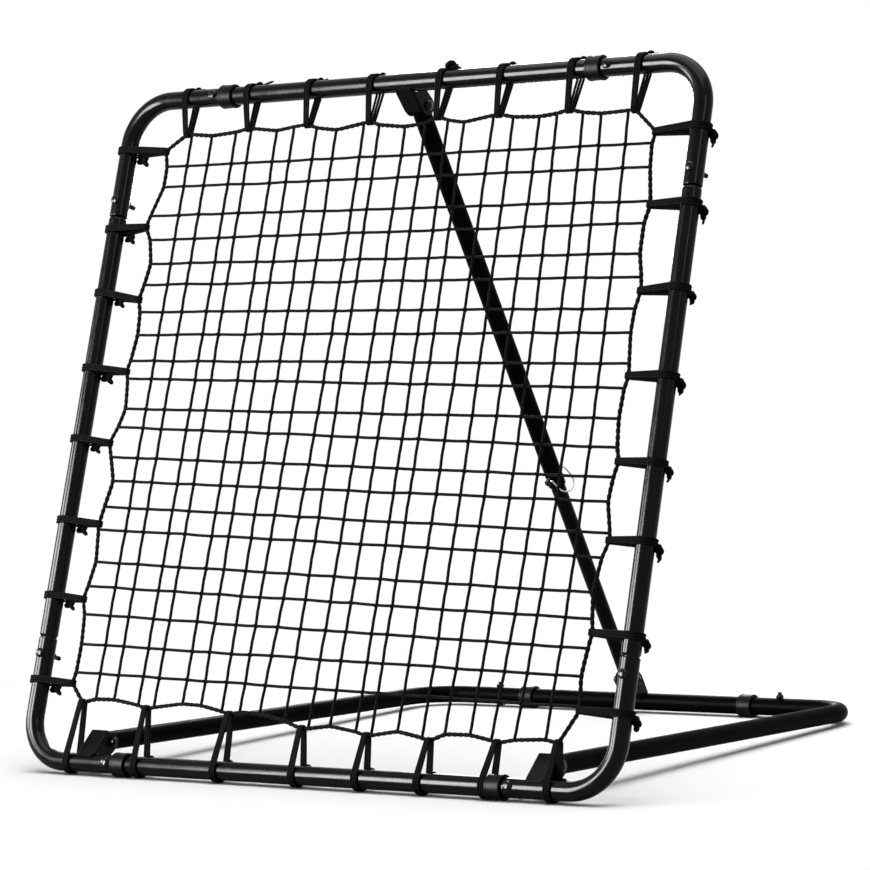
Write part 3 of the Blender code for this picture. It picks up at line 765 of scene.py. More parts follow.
@dataclass(frozen=True)
class PowderCoat:
    """Black powder coat: orange peel, faint mottling, and smudges that dull the gloss."""

    name: str
    deep: Colour = (0.0010, 0.0010, 0.0012)
    pale: Colour = (0.0034, 0.0034, 0.0038)
    gloss: float = 0.14
    dull: float = 0.25
    peel: float = 0.000012
    shine: float = 0.08

    def material(self) -> bpy.types.Material:
        """Mixes the material.

        Returns:
            The finished material.
        """
        bench = NodeBench(self.name)
        place = bench.place()
        mottle = bench.span(bench.noise(place, 22, 4), 0.35, 0.65, 0, 1)
        smudge = bench.noise(place, 48, 6, 0.62)
        fine = bench.noise(place, 900, 2)
        speck = bench.span(bench.noise(place, 2600, 1), 0.70, 0.78, 0, 1)
        relief = bench.bump(fine, self.peel)
        relief = bench.bump(speck, self.peel * 1.5, 0.6, relief)
        return bench.dress(
            Base_Color=bench.blend(mottle, self.deep, self.pale),
            Roughness=bench.span(smudge, 0.36, 0.72, self.gloss, self.dull),
            Specular_IOR_Level=self.shine,
            Normal=relief,
        )


@dataclass(frozen=True)
class RubbedCoat:
    """Powder coat that a sliding tube has rubbed: long pale scratches along it."""

    name: str
    tilt: float
    deep: Colour = (0.0010, 0.0010, 0.0012)
    rubbed: Colour = (0.012, 0.012, 0.0125)
    shine: float = 0.03

    def material(self) -> bpy.types.Material:
        """Mixes the material.

        Returns:
            The finished material.
        """
        bench = NodeBench(self.name)
        place = bench.place()
        lined = bench.add(
            "ShaderNodeMapping",
            {"Vector": place, "Rotation": (-self.tilt, 0, 0), "Scale": (1, 1, 0.02)},
        )
        scratches = bench.noise(lined, 1500, 3, 0.7)
        patches = bench.noise(place, 30, 4)
        lines = bench.span(scratches, 0.56, 0.70, 0, 1)
        areas = bench.span(patches, 0.4, 0.62, 0, 1)
        worn = bench.math("MULTIPLY", lines, areas)
        fine = bench.noise(place, 900, 2)
        relief = bench.bump(fine, 0.00005)
        return bench.dress(
            Base_Color=bench.blend(worn, self.deep, self.rubbed),
            Roughness=bench.span(worn, 0, 1, 0.2, 0.45),
            Specular_IOR_Level=self.shine,
            Normal=bench.bump(scratches, 0.00003, 0.5, relief),
        )


@dataclass(frozen=True)
class Zinc:
    """Plated metal, slightly mottled: blackened on bolts, nuts and pin, bright on the wire."""

    name: str
    deep: Colour = (0.004, 0.004, 0.0045)
    pale: Colour = (0.014, 0.014, 0.015)
    gloss: float = 0.14
    dull: float = 0.28

    def material(self) -> bpy.types.Material:
        """Mixes the material.

        Returns:
            The finished material.
        """
        bench = NodeBench(self.name)
        place = bench.place()
        mottle = bench.span(bench.noise(place, 260, 4, 0.6), 0.35, 0.7, 0, 1)
        haze = bench.noise(place, 700, 5, 0.65)
        relief = bench.bump(bench.noise(place, 2400, 2), 0.00002)
        return bench.dress(
            Base_Color=bench.blend(mottle, self.deep, self.pale),
            Metallic=0.9,
            Roughness=bench.span(haze, 0.35, 0.7, self.gloss, self.dull),
            Normal=relief,
        )


@dataclass(frozen=True)
class MouldedPlastic:
    """Black moulded plastic with a fine satin grain."""

    name: str
    deep: Colour = (0.0015, 0.0015, 0.0017)
    pale: Colour = (0.0040, 0.0040, 0.0043)

    def material(self) -> bpy.types.Material:
        """Mixes the material.

        Returns:
            The finished material.
        """
        bench = NodeBench(self.name)
        place = bench.place()
        flow = bench.span(bench.noise(place, 60, 3), 0.3, 0.7, 0, 1)
        grain = bench.noise(place, 2200, 2, 0.6)
        return bench.dress(
            Base_Color=bench.blend(flow, self.deep, self.pale),
            Roughness=bench.span(flow, 0, 1, 0.32, 0.44),
            Specular_IOR_Level=0.05,
            Normal=bench.bump(grain, 0.00004),
        )


@dataclass(frozen=True)
class TwistedCord:
    """Black cord of twisted plies, with painted shade in the grooves between the plies and a painted
    highlight along their ridges, broken up by fibre noise.
    """

    name: str
    plies: int = 3
    pitch: float = 0.010
    # deep is the painted shade in the grooves, pale the painted highlight on the ridges.
    deep: Colour = (0.0010, 0.0010, 0.0011)
    pale: Colour = (0.0050, 0.0050, 0.0053)
    relief: float = 0.0006

    def material(self) -> bpy.types.Material:
        """Mixes the material.

        Returns:
            The finished material.
        """
        bench = NodeBench(self.name)
        follow = bench.add("ShaderNodeTexCoord", {}, "UV")
        split = bench.tree.nodes.new("ShaderNodeSeparateXYZ")
        bench.feed(split, 0, follow)
        round_it = bench.math("MULTIPLY", split.outputs[0], float(self.plies))
        along = bench.math("MULTIPLY", split.outputs[1], self.plies / self.pitch)
        phase = bench.math("MULTIPLY", bench.math("ADD", round_it, along), math.pi)
        ridge = bench.math("ABSOLUTE", bench.math("SINE", phase))
        place = bench.place()
        fibre = bench.noise(place, 1900, 4, 0.7)
        fuzz = bench.noise(place, 420, 3)
        # The ply ridges set the colour: dark grooves are painted shade, pale ridges a painted highlight,
        # broken up by fibre noise.
        share = bench.math("MULTIPLY", ridge, bench.span(fibre, 0.3, 0.7, 0.35, 1))
        body = bench.bump(ridge, self.relief)
        return bench.dress(
            Base_Color=bench.blend(share, self.deep, self.pale),
            Roughness=bench.span(fuzz, 0.3, 0.7, 0.62, 0.85),
            Specular_IOR_Level=0.03,
            Normal=bench.bump(fibre, 0.00015, 0.7, body),
        )


@dataclass
class Workshop:
    """Turns finished shapes into pieces of the scene."""

    materials: dict[Slot | Special, bpy.types.Material] = field(init=False)

    def __post_init__(self) -> None:
        """Mixes every finish once."""
        satin_coat = PowderCoat(
            "satin_powder_coat", deep=(0.0015, 0.0015, 0.0017), pale=(0.0035, 0.0035, 0.0038),
            gloss=0.26, dull=0.42, shine=0.05,
        )
        # The same black powder coat, rougher, with a darker colour and almost no reflection: painted shade
        # on the pieces that lie behind the frame.
        shade_coat = PowderCoat(
            "matt_powder_coat", deep=(0.0008, 0.0008, 0.0009), pale=(0.0018, 0.0018, 0.0020),
            gloss=0.36, dull=0.50, shine=0.008,
        )
        bright_zinc = Zinc(
            "bright_zinc", deep=(0.26, 0.26, 0.265), pale=(0.42, 0.42, 0.43), gloss=0.24, dull=0.38
        )
        finishes = {
            Slot.ENAMEL: PowderCoat("gloss_powder_coat"),
            Slot.STRUT_ENAMEL: RubbedCoat("rubbed_powder_coat", LAYOUT.strut_tilt),
            Slot.BRACKET_ENAMEL: satin_coat,
            Slot.FASTENER: Zinc("black_zinc"),
            Slot.COLLAR_PLASTIC: MouldedPlastic("moulded_plastic"),
            Slot.NET_CORD: TwistedCord("net_cord_plies"),
            Slot.LACING_CORD: TwistedCord("lacing_cord_plies", pitch=0.012),
            Special.SHADE_COAT: shade_coat,
            Special.BRIGHT_ZINC: bright_zinc,
        }
        self.materials = {choice: finish.material() for choice, finish in finishes.items()}

    def place(
        self, name: str, shape: Shape, slot: Slot, body: Body, nodes: Sequence[str],
        edge: float = 0.0, crease: float = 38.0, special: Optional[Special] = None,
    ) -> bpy.types.Object:
        """Puts a finished shape in the scene.

        Args:
            name: the piece's name.
            shape: its shape, placed in the world. It is used up.
            slot: the record's slot that it takes its finish from.
            body: what it moves with.
            nodes: the CAD nodes that it stands for.
            edge: width of the rounding on its sharp edges, or zero.
            crease: the least angle, in degrees, that stays a sharp edge.
            special: the finish that it has instead of its slot's, or none.

        Returns:
            The piece.
        """
        triangles = sum(len(face.verts) - 2 for face in shape.faces)
        piece = as_object(shape, name)
        mesh = piece.data
        mesh.materials.append(self.materials[special or slot])
        mesh.shade_smooth()
        if edge:
            rounding = piece.modifiers.new("edges", "BEVEL")
            rounding.width = edge
            rounding.segments = 2
            rounding.limit_method = "ANGLE"
            rounding.angle_limit = math.radians(crease)
            rounding.use_clamp_overlap = True
            normals = piece.modifiers.new("flats", "WEIGHTED_NORMAL")
            normals.keep_sharp = True
        else:
            mesh.set_sharp_from_angle(angle=math.radians(crease))
        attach(piece, body.value)
        if nodes:
            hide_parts(*nodes)
        LOG.info("%s: %d triangles", name, triangles)
        return piece


# ------------------------------------------------------------------------------- fasteners
@dataclass(frozen=True)
class DomeBolt:
    """Dome-headed bolt with a threaded end and a hexagonal nut."""

    head_radius: float
    head_height: float
    shank_radius: float
    nut_radius: float
    nut_height: float
    pitch: float = 0.001
    rim_share: float = 0.22  # of the head's height, below its dome
    dome_share: float = 0.985  # of the head's radius
    groove_share: float = 0.88  # of the shank's radius, in the thread
    tip_share: float = 0.8  # of the shank's radius, at its end
    nut_play: float = 0.0003

    def bolt(self, matrix: Matrix, seat: float, tail: float, thread: float) -> Shape:
        """Shapes the bolt.

        Args:
            matrix: axes at the middle of what it holds, with local Z out of its head.
            seat: from there to the underside of the head.
            tail: from there to the end of the shank.
            thread: length of the thread that shows.

        Returns:
            The bolt.
        """
        rim = self.head_height * self.rim_share
        wide, high = self.head_radius * self.dome_share, self.head_height - rim
        profile = [(wide * x, seat + rim + high * y) for x, y in arc((0, 0), 1, 90, 0, 12)]
        profile[0] = (0, seat + self.head_height)
        # The rim's corners are rounded by shares of its height.
        profile += [(self.head_radius, seat + rim * 0.8), (self.head_radius, seat + rim * 0.25)]
        profile += [(self.head_radius - rim * 0.3, seat), (self.shank_radius, seat)]
        place = thread - tail
        profile.append((self.shank_radius, place))
        while place > -tail + self.pitch:
            profile.append((self.shank_radius * self.groove_share, place - self.pitch / 2))
            place -= self.pitch
            profile.append((self.shank_radius, place))
        profile += [(self.shank_radius * self.tip_share, -tail), (0, -tail)]
        return turned(profile, matrix, SMALL_SIDES)

    def nut(self, matrix: Matrix, seat: float) -> Shape:
        """Shapes the nut, with its corners turned down at both ends and a locking ring behind.

        Args:
            matrix: axes at the middle of what it holds, with local Z out of the bolt's head.
            seat: from there to the nut's seat.

        Returns:
            The nut.
        """
        hexagon = arc((0, 0), self.nut_radius, 0, 300, 5)
        height = self.nut_height
        low = -seat - height
        block = prism(hexagon, height, matrix @ Matrix.Translation((0, 0, low + height / 2)))
        # The barrel cuts the hexagon. Its places are shares of the nut's height and of its flats.
        across = self.nut_radius * math.cos(math.pi / 6)
        wide = self.nut_radius + 0.0001
        slope = (self.nut_radius - across) * 0.7
        corners = [(0, -seat), (across, -seat), (wide, -seat - slope), (wide, low + height * 0.42)]
        ring = [(across, low + height * 0.30), (across * 0.93, low + height * 0.26)]
        ring += [(across * 0.9, low + 0.0006), (across * 0.82, low), (0, low)]
        barrel = turned(corners + ring, matrix)
        middle = matrix @ Matrix.Translation((0, 0, low))
        hole = rod(self.shank_radius + self.nut_play, middle, 24, 4 * height)
        return carve(carve(block, [barrel], Cut.COMMON), [hole])


JOINT_BOLT = DomeBolt(0.0065, 0.0035, 0.003, 0.0058, 0.005)
REAR_BOLT = DomeBolt(0.0065, 0.0024, 0.003, 0.0058, 0.005)
PIVOT_BOLT = DomeBolt(0.0075, 0.0045, 0.004, 0.0075, 0.0065, 0.00125)


@dataclass
class Assembly:
    """A sub-assembly, whose pieces are made in the workshop."""

    shop: Workshop

    def fasten(
        self, kind: DomeBolt, node: str, matrix: Matrix, body: Body, seat: float, tail: float
    ) -> None:
        """Fits a bolt and its nut in place of their CAD nodes.

        Args:
            kind: the sort of bolt.
            node: first part of the two CAD nodes' names.
            matrix: axes at the middle of what it holds, with local Z out of its head.
            body: what it moves with.
            seat: from there to the undersides of head and nut.
            tail: from there to the end of the shank.
        """
        thread = tail - seat + kind.nut_height * 0.2
        bolt = kind.bolt(matrix, seat, tail, thread)
        self.shop.place(f"{node}_bolt_dome", bolt, Slot.FASTENER, body, [f"{node}_bolt"], crease=32)
        nut, edge, crease = kind.nut(matrix, seat), 0.00018, 25
        self.shop.place(f"{node}_nut_hex", nut, Slot.FASTENER, body, [f"{node}_nut"], edge, crease)


# ------------------------------------------------------------------------------- frame
@dataclass
class SquareFrame(Assembly):
    """The leaning frame: four bent corners, four straight tubes, their bolts and collars."""

    spigot: float = 0.040
    spigot_radius: float = 0.0105
    swage: float = 0.005
    bolt_tail: float = 0.029
    collar_radius: float = 0.0165
    collar_bore: float = 0.0129
    collar_length: float = 0.022
    collar_lip: float = 0.0030  # length of the thicker band at each end
    lip_height: float = 0.0004
    collar_round: float = 0.0011
    bore_chamfer: Point = (0.0004, 0.0006)

    def build(self) -> None:
        """Makes every piece of the frame."""
        half, height = LAYOUT.frame_half, LAYOUT.frame_height
        for corner, side, level in (("tl", -1, height), ("tr", 1, height), ("bl", -1, 0), ("br", 1, 0)):
            self._corner(corner, Vector((side * half, 0, level)), -side, -1 if level else 1)
        reach = half - LAYOUT.frame_seam - LAYOUT.touch
        for node, place, along in (
            ("top_rail", Vector((0, 0, height)), X_AXIS),
            ("bottom_rail", Vector(), X_AXIS),
            ("side_tube_left", Vector((-half, 0, height / 2)), Z_AXIS),
            ("side_tube_right", Vector((half, 0, height / 2)), Z_AXIS),
        ):
            shape = self.spigot_tube(LAYOUT.panel, place, along, reach, self.spigot)
            self.shop.place(f"{node}_swaged", shape, Slot.ENAMEL, Body.FRAME, [node])
        self._bolts()
        for side, sign in (("left", -1), ("right", 1)):
            x = sign * (half - LAYOUT.frame_seam)
            for level, z in (("top", height), ("bottom", 0)):
                place = LAYOUT.panel @ Vector((x, 0, z))
                self.collar(f"collar_{level}_{side}", place, Body.FRAME, level == "bottom", sign)

    def _corner(self, corner: str, apex: Vector, across: int, up: int) -> None:
        """Draws one bent corner tube from its rail end to its side end.

        Args:
            corner: short name of the corner.
            apex: where the centre lines of the two sides meet, in the panel's axes.
            across: 1 where its rail end lies along X from there, -1 where it lies back.
            up: 1 where its side end lies above, -1 where it lies below.
        """
        reach = LAYOUT.frame_seam - LAYOUT.bend_radius
        start = facing(X_AXIS * -across, apex + X_AXIS * (across * LAYOUT.frame_seam))
        run = TubeRun(LAYOUT.panel @ start, LAYOUT.tube_radius, LAYOUT.tube_wall)
        towards = LAYOUT.panel.to_3x3() @ (Z_AXIS * up)
        run.straight(reach).bend(towards, LAYOUT.bend_radius).straight(reach)
        node = f"corner_tube_{corner}"
        self.shop.place(f"{node}_bent", run.close(), Slot.ENAMEL, Body.FRAME, [node])

    def spigot_tube(
        self, matrix: Matrix, middle: Vector, along: Vector, reach: float, spigot: float
    ) -> Shape:
        """Draws a straight tube whose two ends are swaged down to slip into others.

        Args:
            matrix: takes its points to the world.
            middle: its middle.
            along: its direction.
            reach: from the middle to either seam.
            spigot: length of the slim ends.

        Returns:
            The tube.
        """
        start = matrix @ facing(along, middle - along * (reach + spigot))
        run = TubeRun(start, self.spigot_radius, LAYOUT.tube_wall)
        run.straight(spigot).swage(self.swage, LAYOUT.tube_radius)
        run.straight(2 * (reach - self.swage)).swage(self.swage, self.spigot_radius).straight(spigot)
        return run.close()

    def _bolts(self) -> None:
        """Fits the eight bolts across the frame's joints, heads to the front."""
        half, height = LAYOUT.frame_half, LAYOUT.frame_height
        inset = LAYOUT.frame_bolt
        seat = LAYOUT.tube_radius + LAYOUT.touch
        for corner, rail, side, sign, level in (
            ("tl", "top", "left", -1, 1), ("tr", "top", "right", 1, 1),
            ("bl", "bottom", "left", -1, 0), ("br", "bottom", "right", 1, 0),
        ):
            on_rail = Vector((sign * (half - inset), 0, level * height))
            on_side = Vector((sign * half, 0, height - inset if level else inset))
            for run, place in ((rail, on_rail), (side, on_side)):
                matrix = LAYOUT.panel @ facing(-Y_AXIS, place)
                self.fasten(JOINT_BOLT, f"{corner}_{run}", matrix, Body.FRAME, seat, self.bolt_tail)

    def collar(self, node: str, place: Vector, body: Body, stands: bool, sign: int) -> None:
        """Turns one plastic collar, thicker at both ends, with a flat sole where it stands.

        Args:
            node: the CAD node that it stands for.
            place: its middle, in the world.
            body: what it moves with.
            stands: whether it stands on the floor.
            sign: -1 on the left, 1 on the right, as seen from the front.
        """
        half = self.collar_length / 2
        outer, bore, lip, low = self.collar_radius, self.collar_bore, self.collar_lip, self.lip_height
        edge = self.collar_round
        wide, deep = self.bore_chamfer
        profile = [(bore + wide, -half)]
        profile += arc((outer - edge, edge - half), edge, -90, 0, 5)
        profile += [(outer, lip - half), (outer - low, lip + low - half)]
        profile += [(outer - low, half - lip - low), (outer, half - lip)]
        profile += arc((outer - edge, half - edge), edge, 0, 90, 5)
        profile += [(bore + wide, half), (bore, half - deep), (bore, deep - half)]
        shape = turned(profile, facing(X_AXIS * sign, place), 64)
        if stands:
            geometry = shape.verts[:] + shape.edges[:] + shape.faces[:]
            made = bmesh.ops.bisect_plane(
                shape, geom=geometry, dist=0.000001, plane_co=(0, 0, 0), plane_no=-Z_AXIS, clear_outer=True
            )
            rim = [item for item in made["geom_cut"] if isinstance(item, bmesh.types.BMEdge)]
            bmesh.ops.holes_fill(shape, edges=rim, sides=0)
        self.shop.place(f"{node}_sleeve", shape, Slot.COLLAR_PLASTIC, body, [node], crease=34)


# ------------------------------------------------------------------------------- brackets
@dataclass
class FoldedBracket(Assembly):
    """U-shaped bracket of folded sheet that saddles a rail and carries a pivot bolt."""

    name: str
    angle: float
    web_side: int
    web_end: float
    body: Body
    sheet: float = 0.002
    bend: float = 0.003
    reach: float = 0.040
    drop: float = 0.0015
    play: float = 0.0005
    wrap: float = 0.00875
    relief: float = 0.0045

    @property
    def forward(self) -> Vector:
        """Direction from the rail to the pivot."""
        return Vector((0, math.cos(self.angle), math.sin(self.angle)))

    @property
    def webward(self) -> Vector:
        """Direction from the pivot to the web."""
        return Vector((0, -math.sin(self.angle), math.cos(self.angle))) * self.web_side

    @property
    def pivot(self) -> Vector:
        """The pivot, measured from the rail's centre line."""
        return self.forward * self.reach - self.webward * self.drop

    def _channel(self) -> list[Point]:
        """Draws the folded sheet's cross-section.

        Returns:
            Its outline, with X across the plates and Y towards the web.
        """
        inner = LAYOUT.tube_radius + self.play
        outer = inner + self.sheet
        top = LAYOUT.tube_radius + LAYOUT.touch + self.sheet
        small = self.bend - self.sheet
        foot = -2 * LAYOUT.tube_radius
        outline = [(outer, foot)]
        outline += arc((outer - self.bend, top - self.bend), self.bend, 0, 90, 8)
        outline += arc((self.bend - outer, top - self.bend), self.bend, 90, 180, 8)
        outline += [(-outer, foot), (-inner, foot)]
        outline += arc((small - inner, top - self.sheet - small), small, 180, 90, 5)
        outline += arc((inner - small, top - self.sheet - small), small, 90, 0, 5)
        return outline + [(inner, foot)]

    def _blank(self) -> list[Point]:
        """Draws the bracket's side view, with a lobe round the pivot.

        Returns:
            Its outline, with X from the rail and Y towards the web.
        """
        lobe = LAYOUT.tube_radius + self.play
        high = LAYOUT.tube_radius + LAYOUT.touch + 2 * self.sheet
        start = math.degrees(math.acos((self.web_end - self.reach) / lobe))
        outline = [(0, -self.wrap), (0, high), (self.web_end, high)]
        return outline + arc((self.reach, -self.drop), lobe, start, -90, 24)

    def build(self, axis_set: Matrix, rail: Vector) -> None:
        """Folds the sheet, cuts its outline, saddle, holes and corner notches.

        Args:
            axis_set: takes the bracket's axes to the world.
            rail: the rail's centre line where the bracket sits, in those axes.
        """
        at_rail = axis_set @ Matrix.Translation(rail)
        across = self.forward.cross(self.webward)
        side_view = at_rail @ axes(self.forward, self.webward)
        end_view = at_rail @ axes(-across, self.webward)
        sideways = axes(Y_AXIS, Z_AXIS)
        shape = prism(self._channel(), 4 * self.reach, end_view)
        shape = carve(shape, [prism(self._blank(), THROUGH, side_view)], Cut.COMMON)
        tools = [
            rod(LAYOUT.tube_radius + LAYOUT.touch, at_rail @ sideways, 72),
            rod(LAYOUT.pivot_hole, at_rail @ Matrix.Translation(self.pivot) @ sideways),
        ]
        outer = LAYOUT.tube_radius + self.play + self.sheet
        top = LAYOUT.tube_radius + LAYOUT.touch + self.sheet
        reach = self.relief
        outline = [(-reach, -reach), (reach, -reach), (reach, reach), (-reach, reach)]
        for side in (-1, 1):
            corner = self.webward * top + X_AXIS * (side * outer)
            notch = at_rail @ Matrix.Translation(corner) @ axes(self.forward, self.webward)
            tools.append(prism(outline, 2 * self.bend, notch))
        piece, slot, edge, crease = f"{self.name}_folded", Slot.BRACKET_ENAMEL, 0.00035, 32
        self.shop.place(piece, carve(shape, tools), slot, self.body, [self.name], edge, crease)


@dataclass
class Brackets(Assembly):
    """The four brackets and the pivot bolts in them."""

    base_angle: float = math.radians(59.0)
    top_angle: float = math.radians(33.5)
    rear_angle: float = math.radians(60.3)
    plate_outer: float = 0.015
    shank_proud: float = 0.002

    def build(self) -> None:
        """Makes the brackets and their pivot bolts."""
        for side, sign in (("left", -1), ("right", 1)):
            name = f"base_bracket_{side}"
            bracket = FoldedBracket(self.shop, name, self.base_angle, 1, 0.046, Body.FRAME)
            rail = X_AXIS * (sign * LAYOUT.arm_half)
            bracket.build(LAYOUT.panel, rail)
            self._pivot(f"pivot_{side}", LAYOUT.panel, rail + bracket.pivot, sign, Body.FRAME)
        top = FoldedBracket(self.shop, "top_bracket", -self.top_angle, -1, 0.038, Body.FRAME)
        rail = Z_AXIS * LAYOUT.frame_height
        top.build(LAYOUT.panel, rail)
        self._pivot("pivot_top", LAYOUT.panel, rail + top.pivot, 1, Body.FRAME)
        angle = math.pi - self.rear_angle + LAYOUT.arm_slope
        rear = FoldedBracket(self.shop, "rear_bracket", angle, -1, 0.038, Body.BASE)
        rear.build(LAYOUT.base, Vector())
        self._pivot("pivot_foot", LAYOUT.base, rear.pivot, 1, Body.BASE)

    def _pivot(self, node: str, axis_set: Matrix, place: Vector, head_side: int, body: Body) -> None:
        """Fits one pivot bolt.

        Args:
            node: first part of its two CAD nodes' names.
            axis_set: takes its place to the world.
            place: its middle, in those axes.
            head_side: 1 where its head is on the right, -1 where it is on the left.
            body: what it moves with.
        """
        seat = self.plate_outer + LAYOUT.touch
        matrix = axis_set @ facing(X_AXIS * head_side, place)
        tail = seat + PIVOT_BOLT.nut_height + self.shank_proud
        self.fasten(PIVOT_BOLT, node, matrix, body, seat, tail)


# ------------------------------------------------------------------------------- base
@dataclass
class BaseLoop(Assembly):
    """The U-shaped base: two bent arms, the rear rail, its collars and bolts.

    It shares the frame's swages and collars.
    """

    tubes: SquareFrame
    spigot: float = 0.070
    nose_spare: float = 0.01875
    bolt_tail: float = 0.0215

    def build(self) -> None:
        """Makes every piece of the base."""
        reach = LAYOUT.arm_half - LAYOUT.rear_seam - LAYOUT.touch
        shape = self.tubes.spigot_tube(LAYOUT.base, Vector(), X_AXIS, reach, self.spigot)
        # The rear rail takes the darker copy of the powder coat, as painted shade.
        shade_finish = Special.SHADE_COAT
        self.shop.place("rear_rail_swaged", shape, Slot.ENAMEL, Body.BASE, ["rear_rail"], special=shade_finish)
        seat = LAYOUT.tube_radius + LAYOUT.touch
        for side, sign in (("left", -1), ("right", 1)):
            self._arm(side, sign)
            place = X_AXIS * (sign * (LAYOUT.arm_half - LAYOUT.rear_seam))
            node = f"collar_rear_{side}"
            self.tubes.collar(node, LAYOUT.base @ place, Body.BASE, True, sign)
            place = X_AXIS * (sign * (LAYOUT.arm_half - LAYOUT.rear_bolt))
            down = LAYOUT.base.to_3x3().inverted() @ -Z_AXIS
            matrix = LAYOUT.base @ facing(down, place)
            self.fasten(REAR_BOLT, f"rear_{side}", matrix, Body.BASE, seat, self.bolt_tail)

    def _arm(self, side: str, sign: int) -> None:
        """Draws one arm from the rear seam to its round nose, and drills it for its pivot.

        Args:
            side: left or right.
            sign: -1 on the left, 1 on the right.
        """
        corner = X_AXIS * (sign * LAYOUT.arm_half)
        start = facing(X_AXIS * sign, corner - X_AXIS * (sign * LAYOUT.rear_seam))
        run = TubeRun(LAYOUT.base @ start, LAYOUT.tube_radius, LAYOUT.tube_wall)
        run.straight(LAYOUT.rear_seam - LAYOUT.bend_radius)
        run.bend(LAYOUT.base.to_3x3() @ -Y_AXIS, LAYOUT.bend_radius)
        run.straight(LAYOUT.arm_length + self.nose_spare - LAYOUT.bend_radius)
        pivot = LAYOUT.base @ Matrix.Translation(corner - Y_AXIS * LAYOUT.arm_length)
        tools = [
            nose(pivot @ axes(Z_AXIS, -Y_AXIS), LAYOUT.tube_radius),
            rod(LAYOUT.pivot_hole, pivot @ axes(Y_AXIS, Z_AXIS)),
        ]
        node = f"base_arm_{side}"
        shape = carve(run.close(0), tools)
        # The arm takes the darker copy of the powder coat, as painted shade.
        shade_finish = Special.SHADE_COAT
        self.shop.place(f"{node}_bent", shape, Slot.ENAMEL, Body.BASE, [node], DRILLED_EDGE, 50, shade_finish)


def nose(matrix: Matrix, radius: float) -> Shape:
    """Shapes the cutter that leaves the end of a tube round in side view.

    Args:
        matrix: axes at the pivot, with the tube's end along local Y and the cut along local Z.
        radius: of the round end.

    Returns:
        The cutter.
    """
    far = 3 * radius
    start = 9.0  # degrees above the pivot, where the tube's sides run on straight
    clear = 1.012  # keeps the cut off the tube's own sides
    outline = arc((0, 0), radius * clear, start, 180 - start, 32)
    low = outline[0][1]
    return prism(outline + [(-far, low), (-far, far), (far, far), (far, low)], far, matrix)


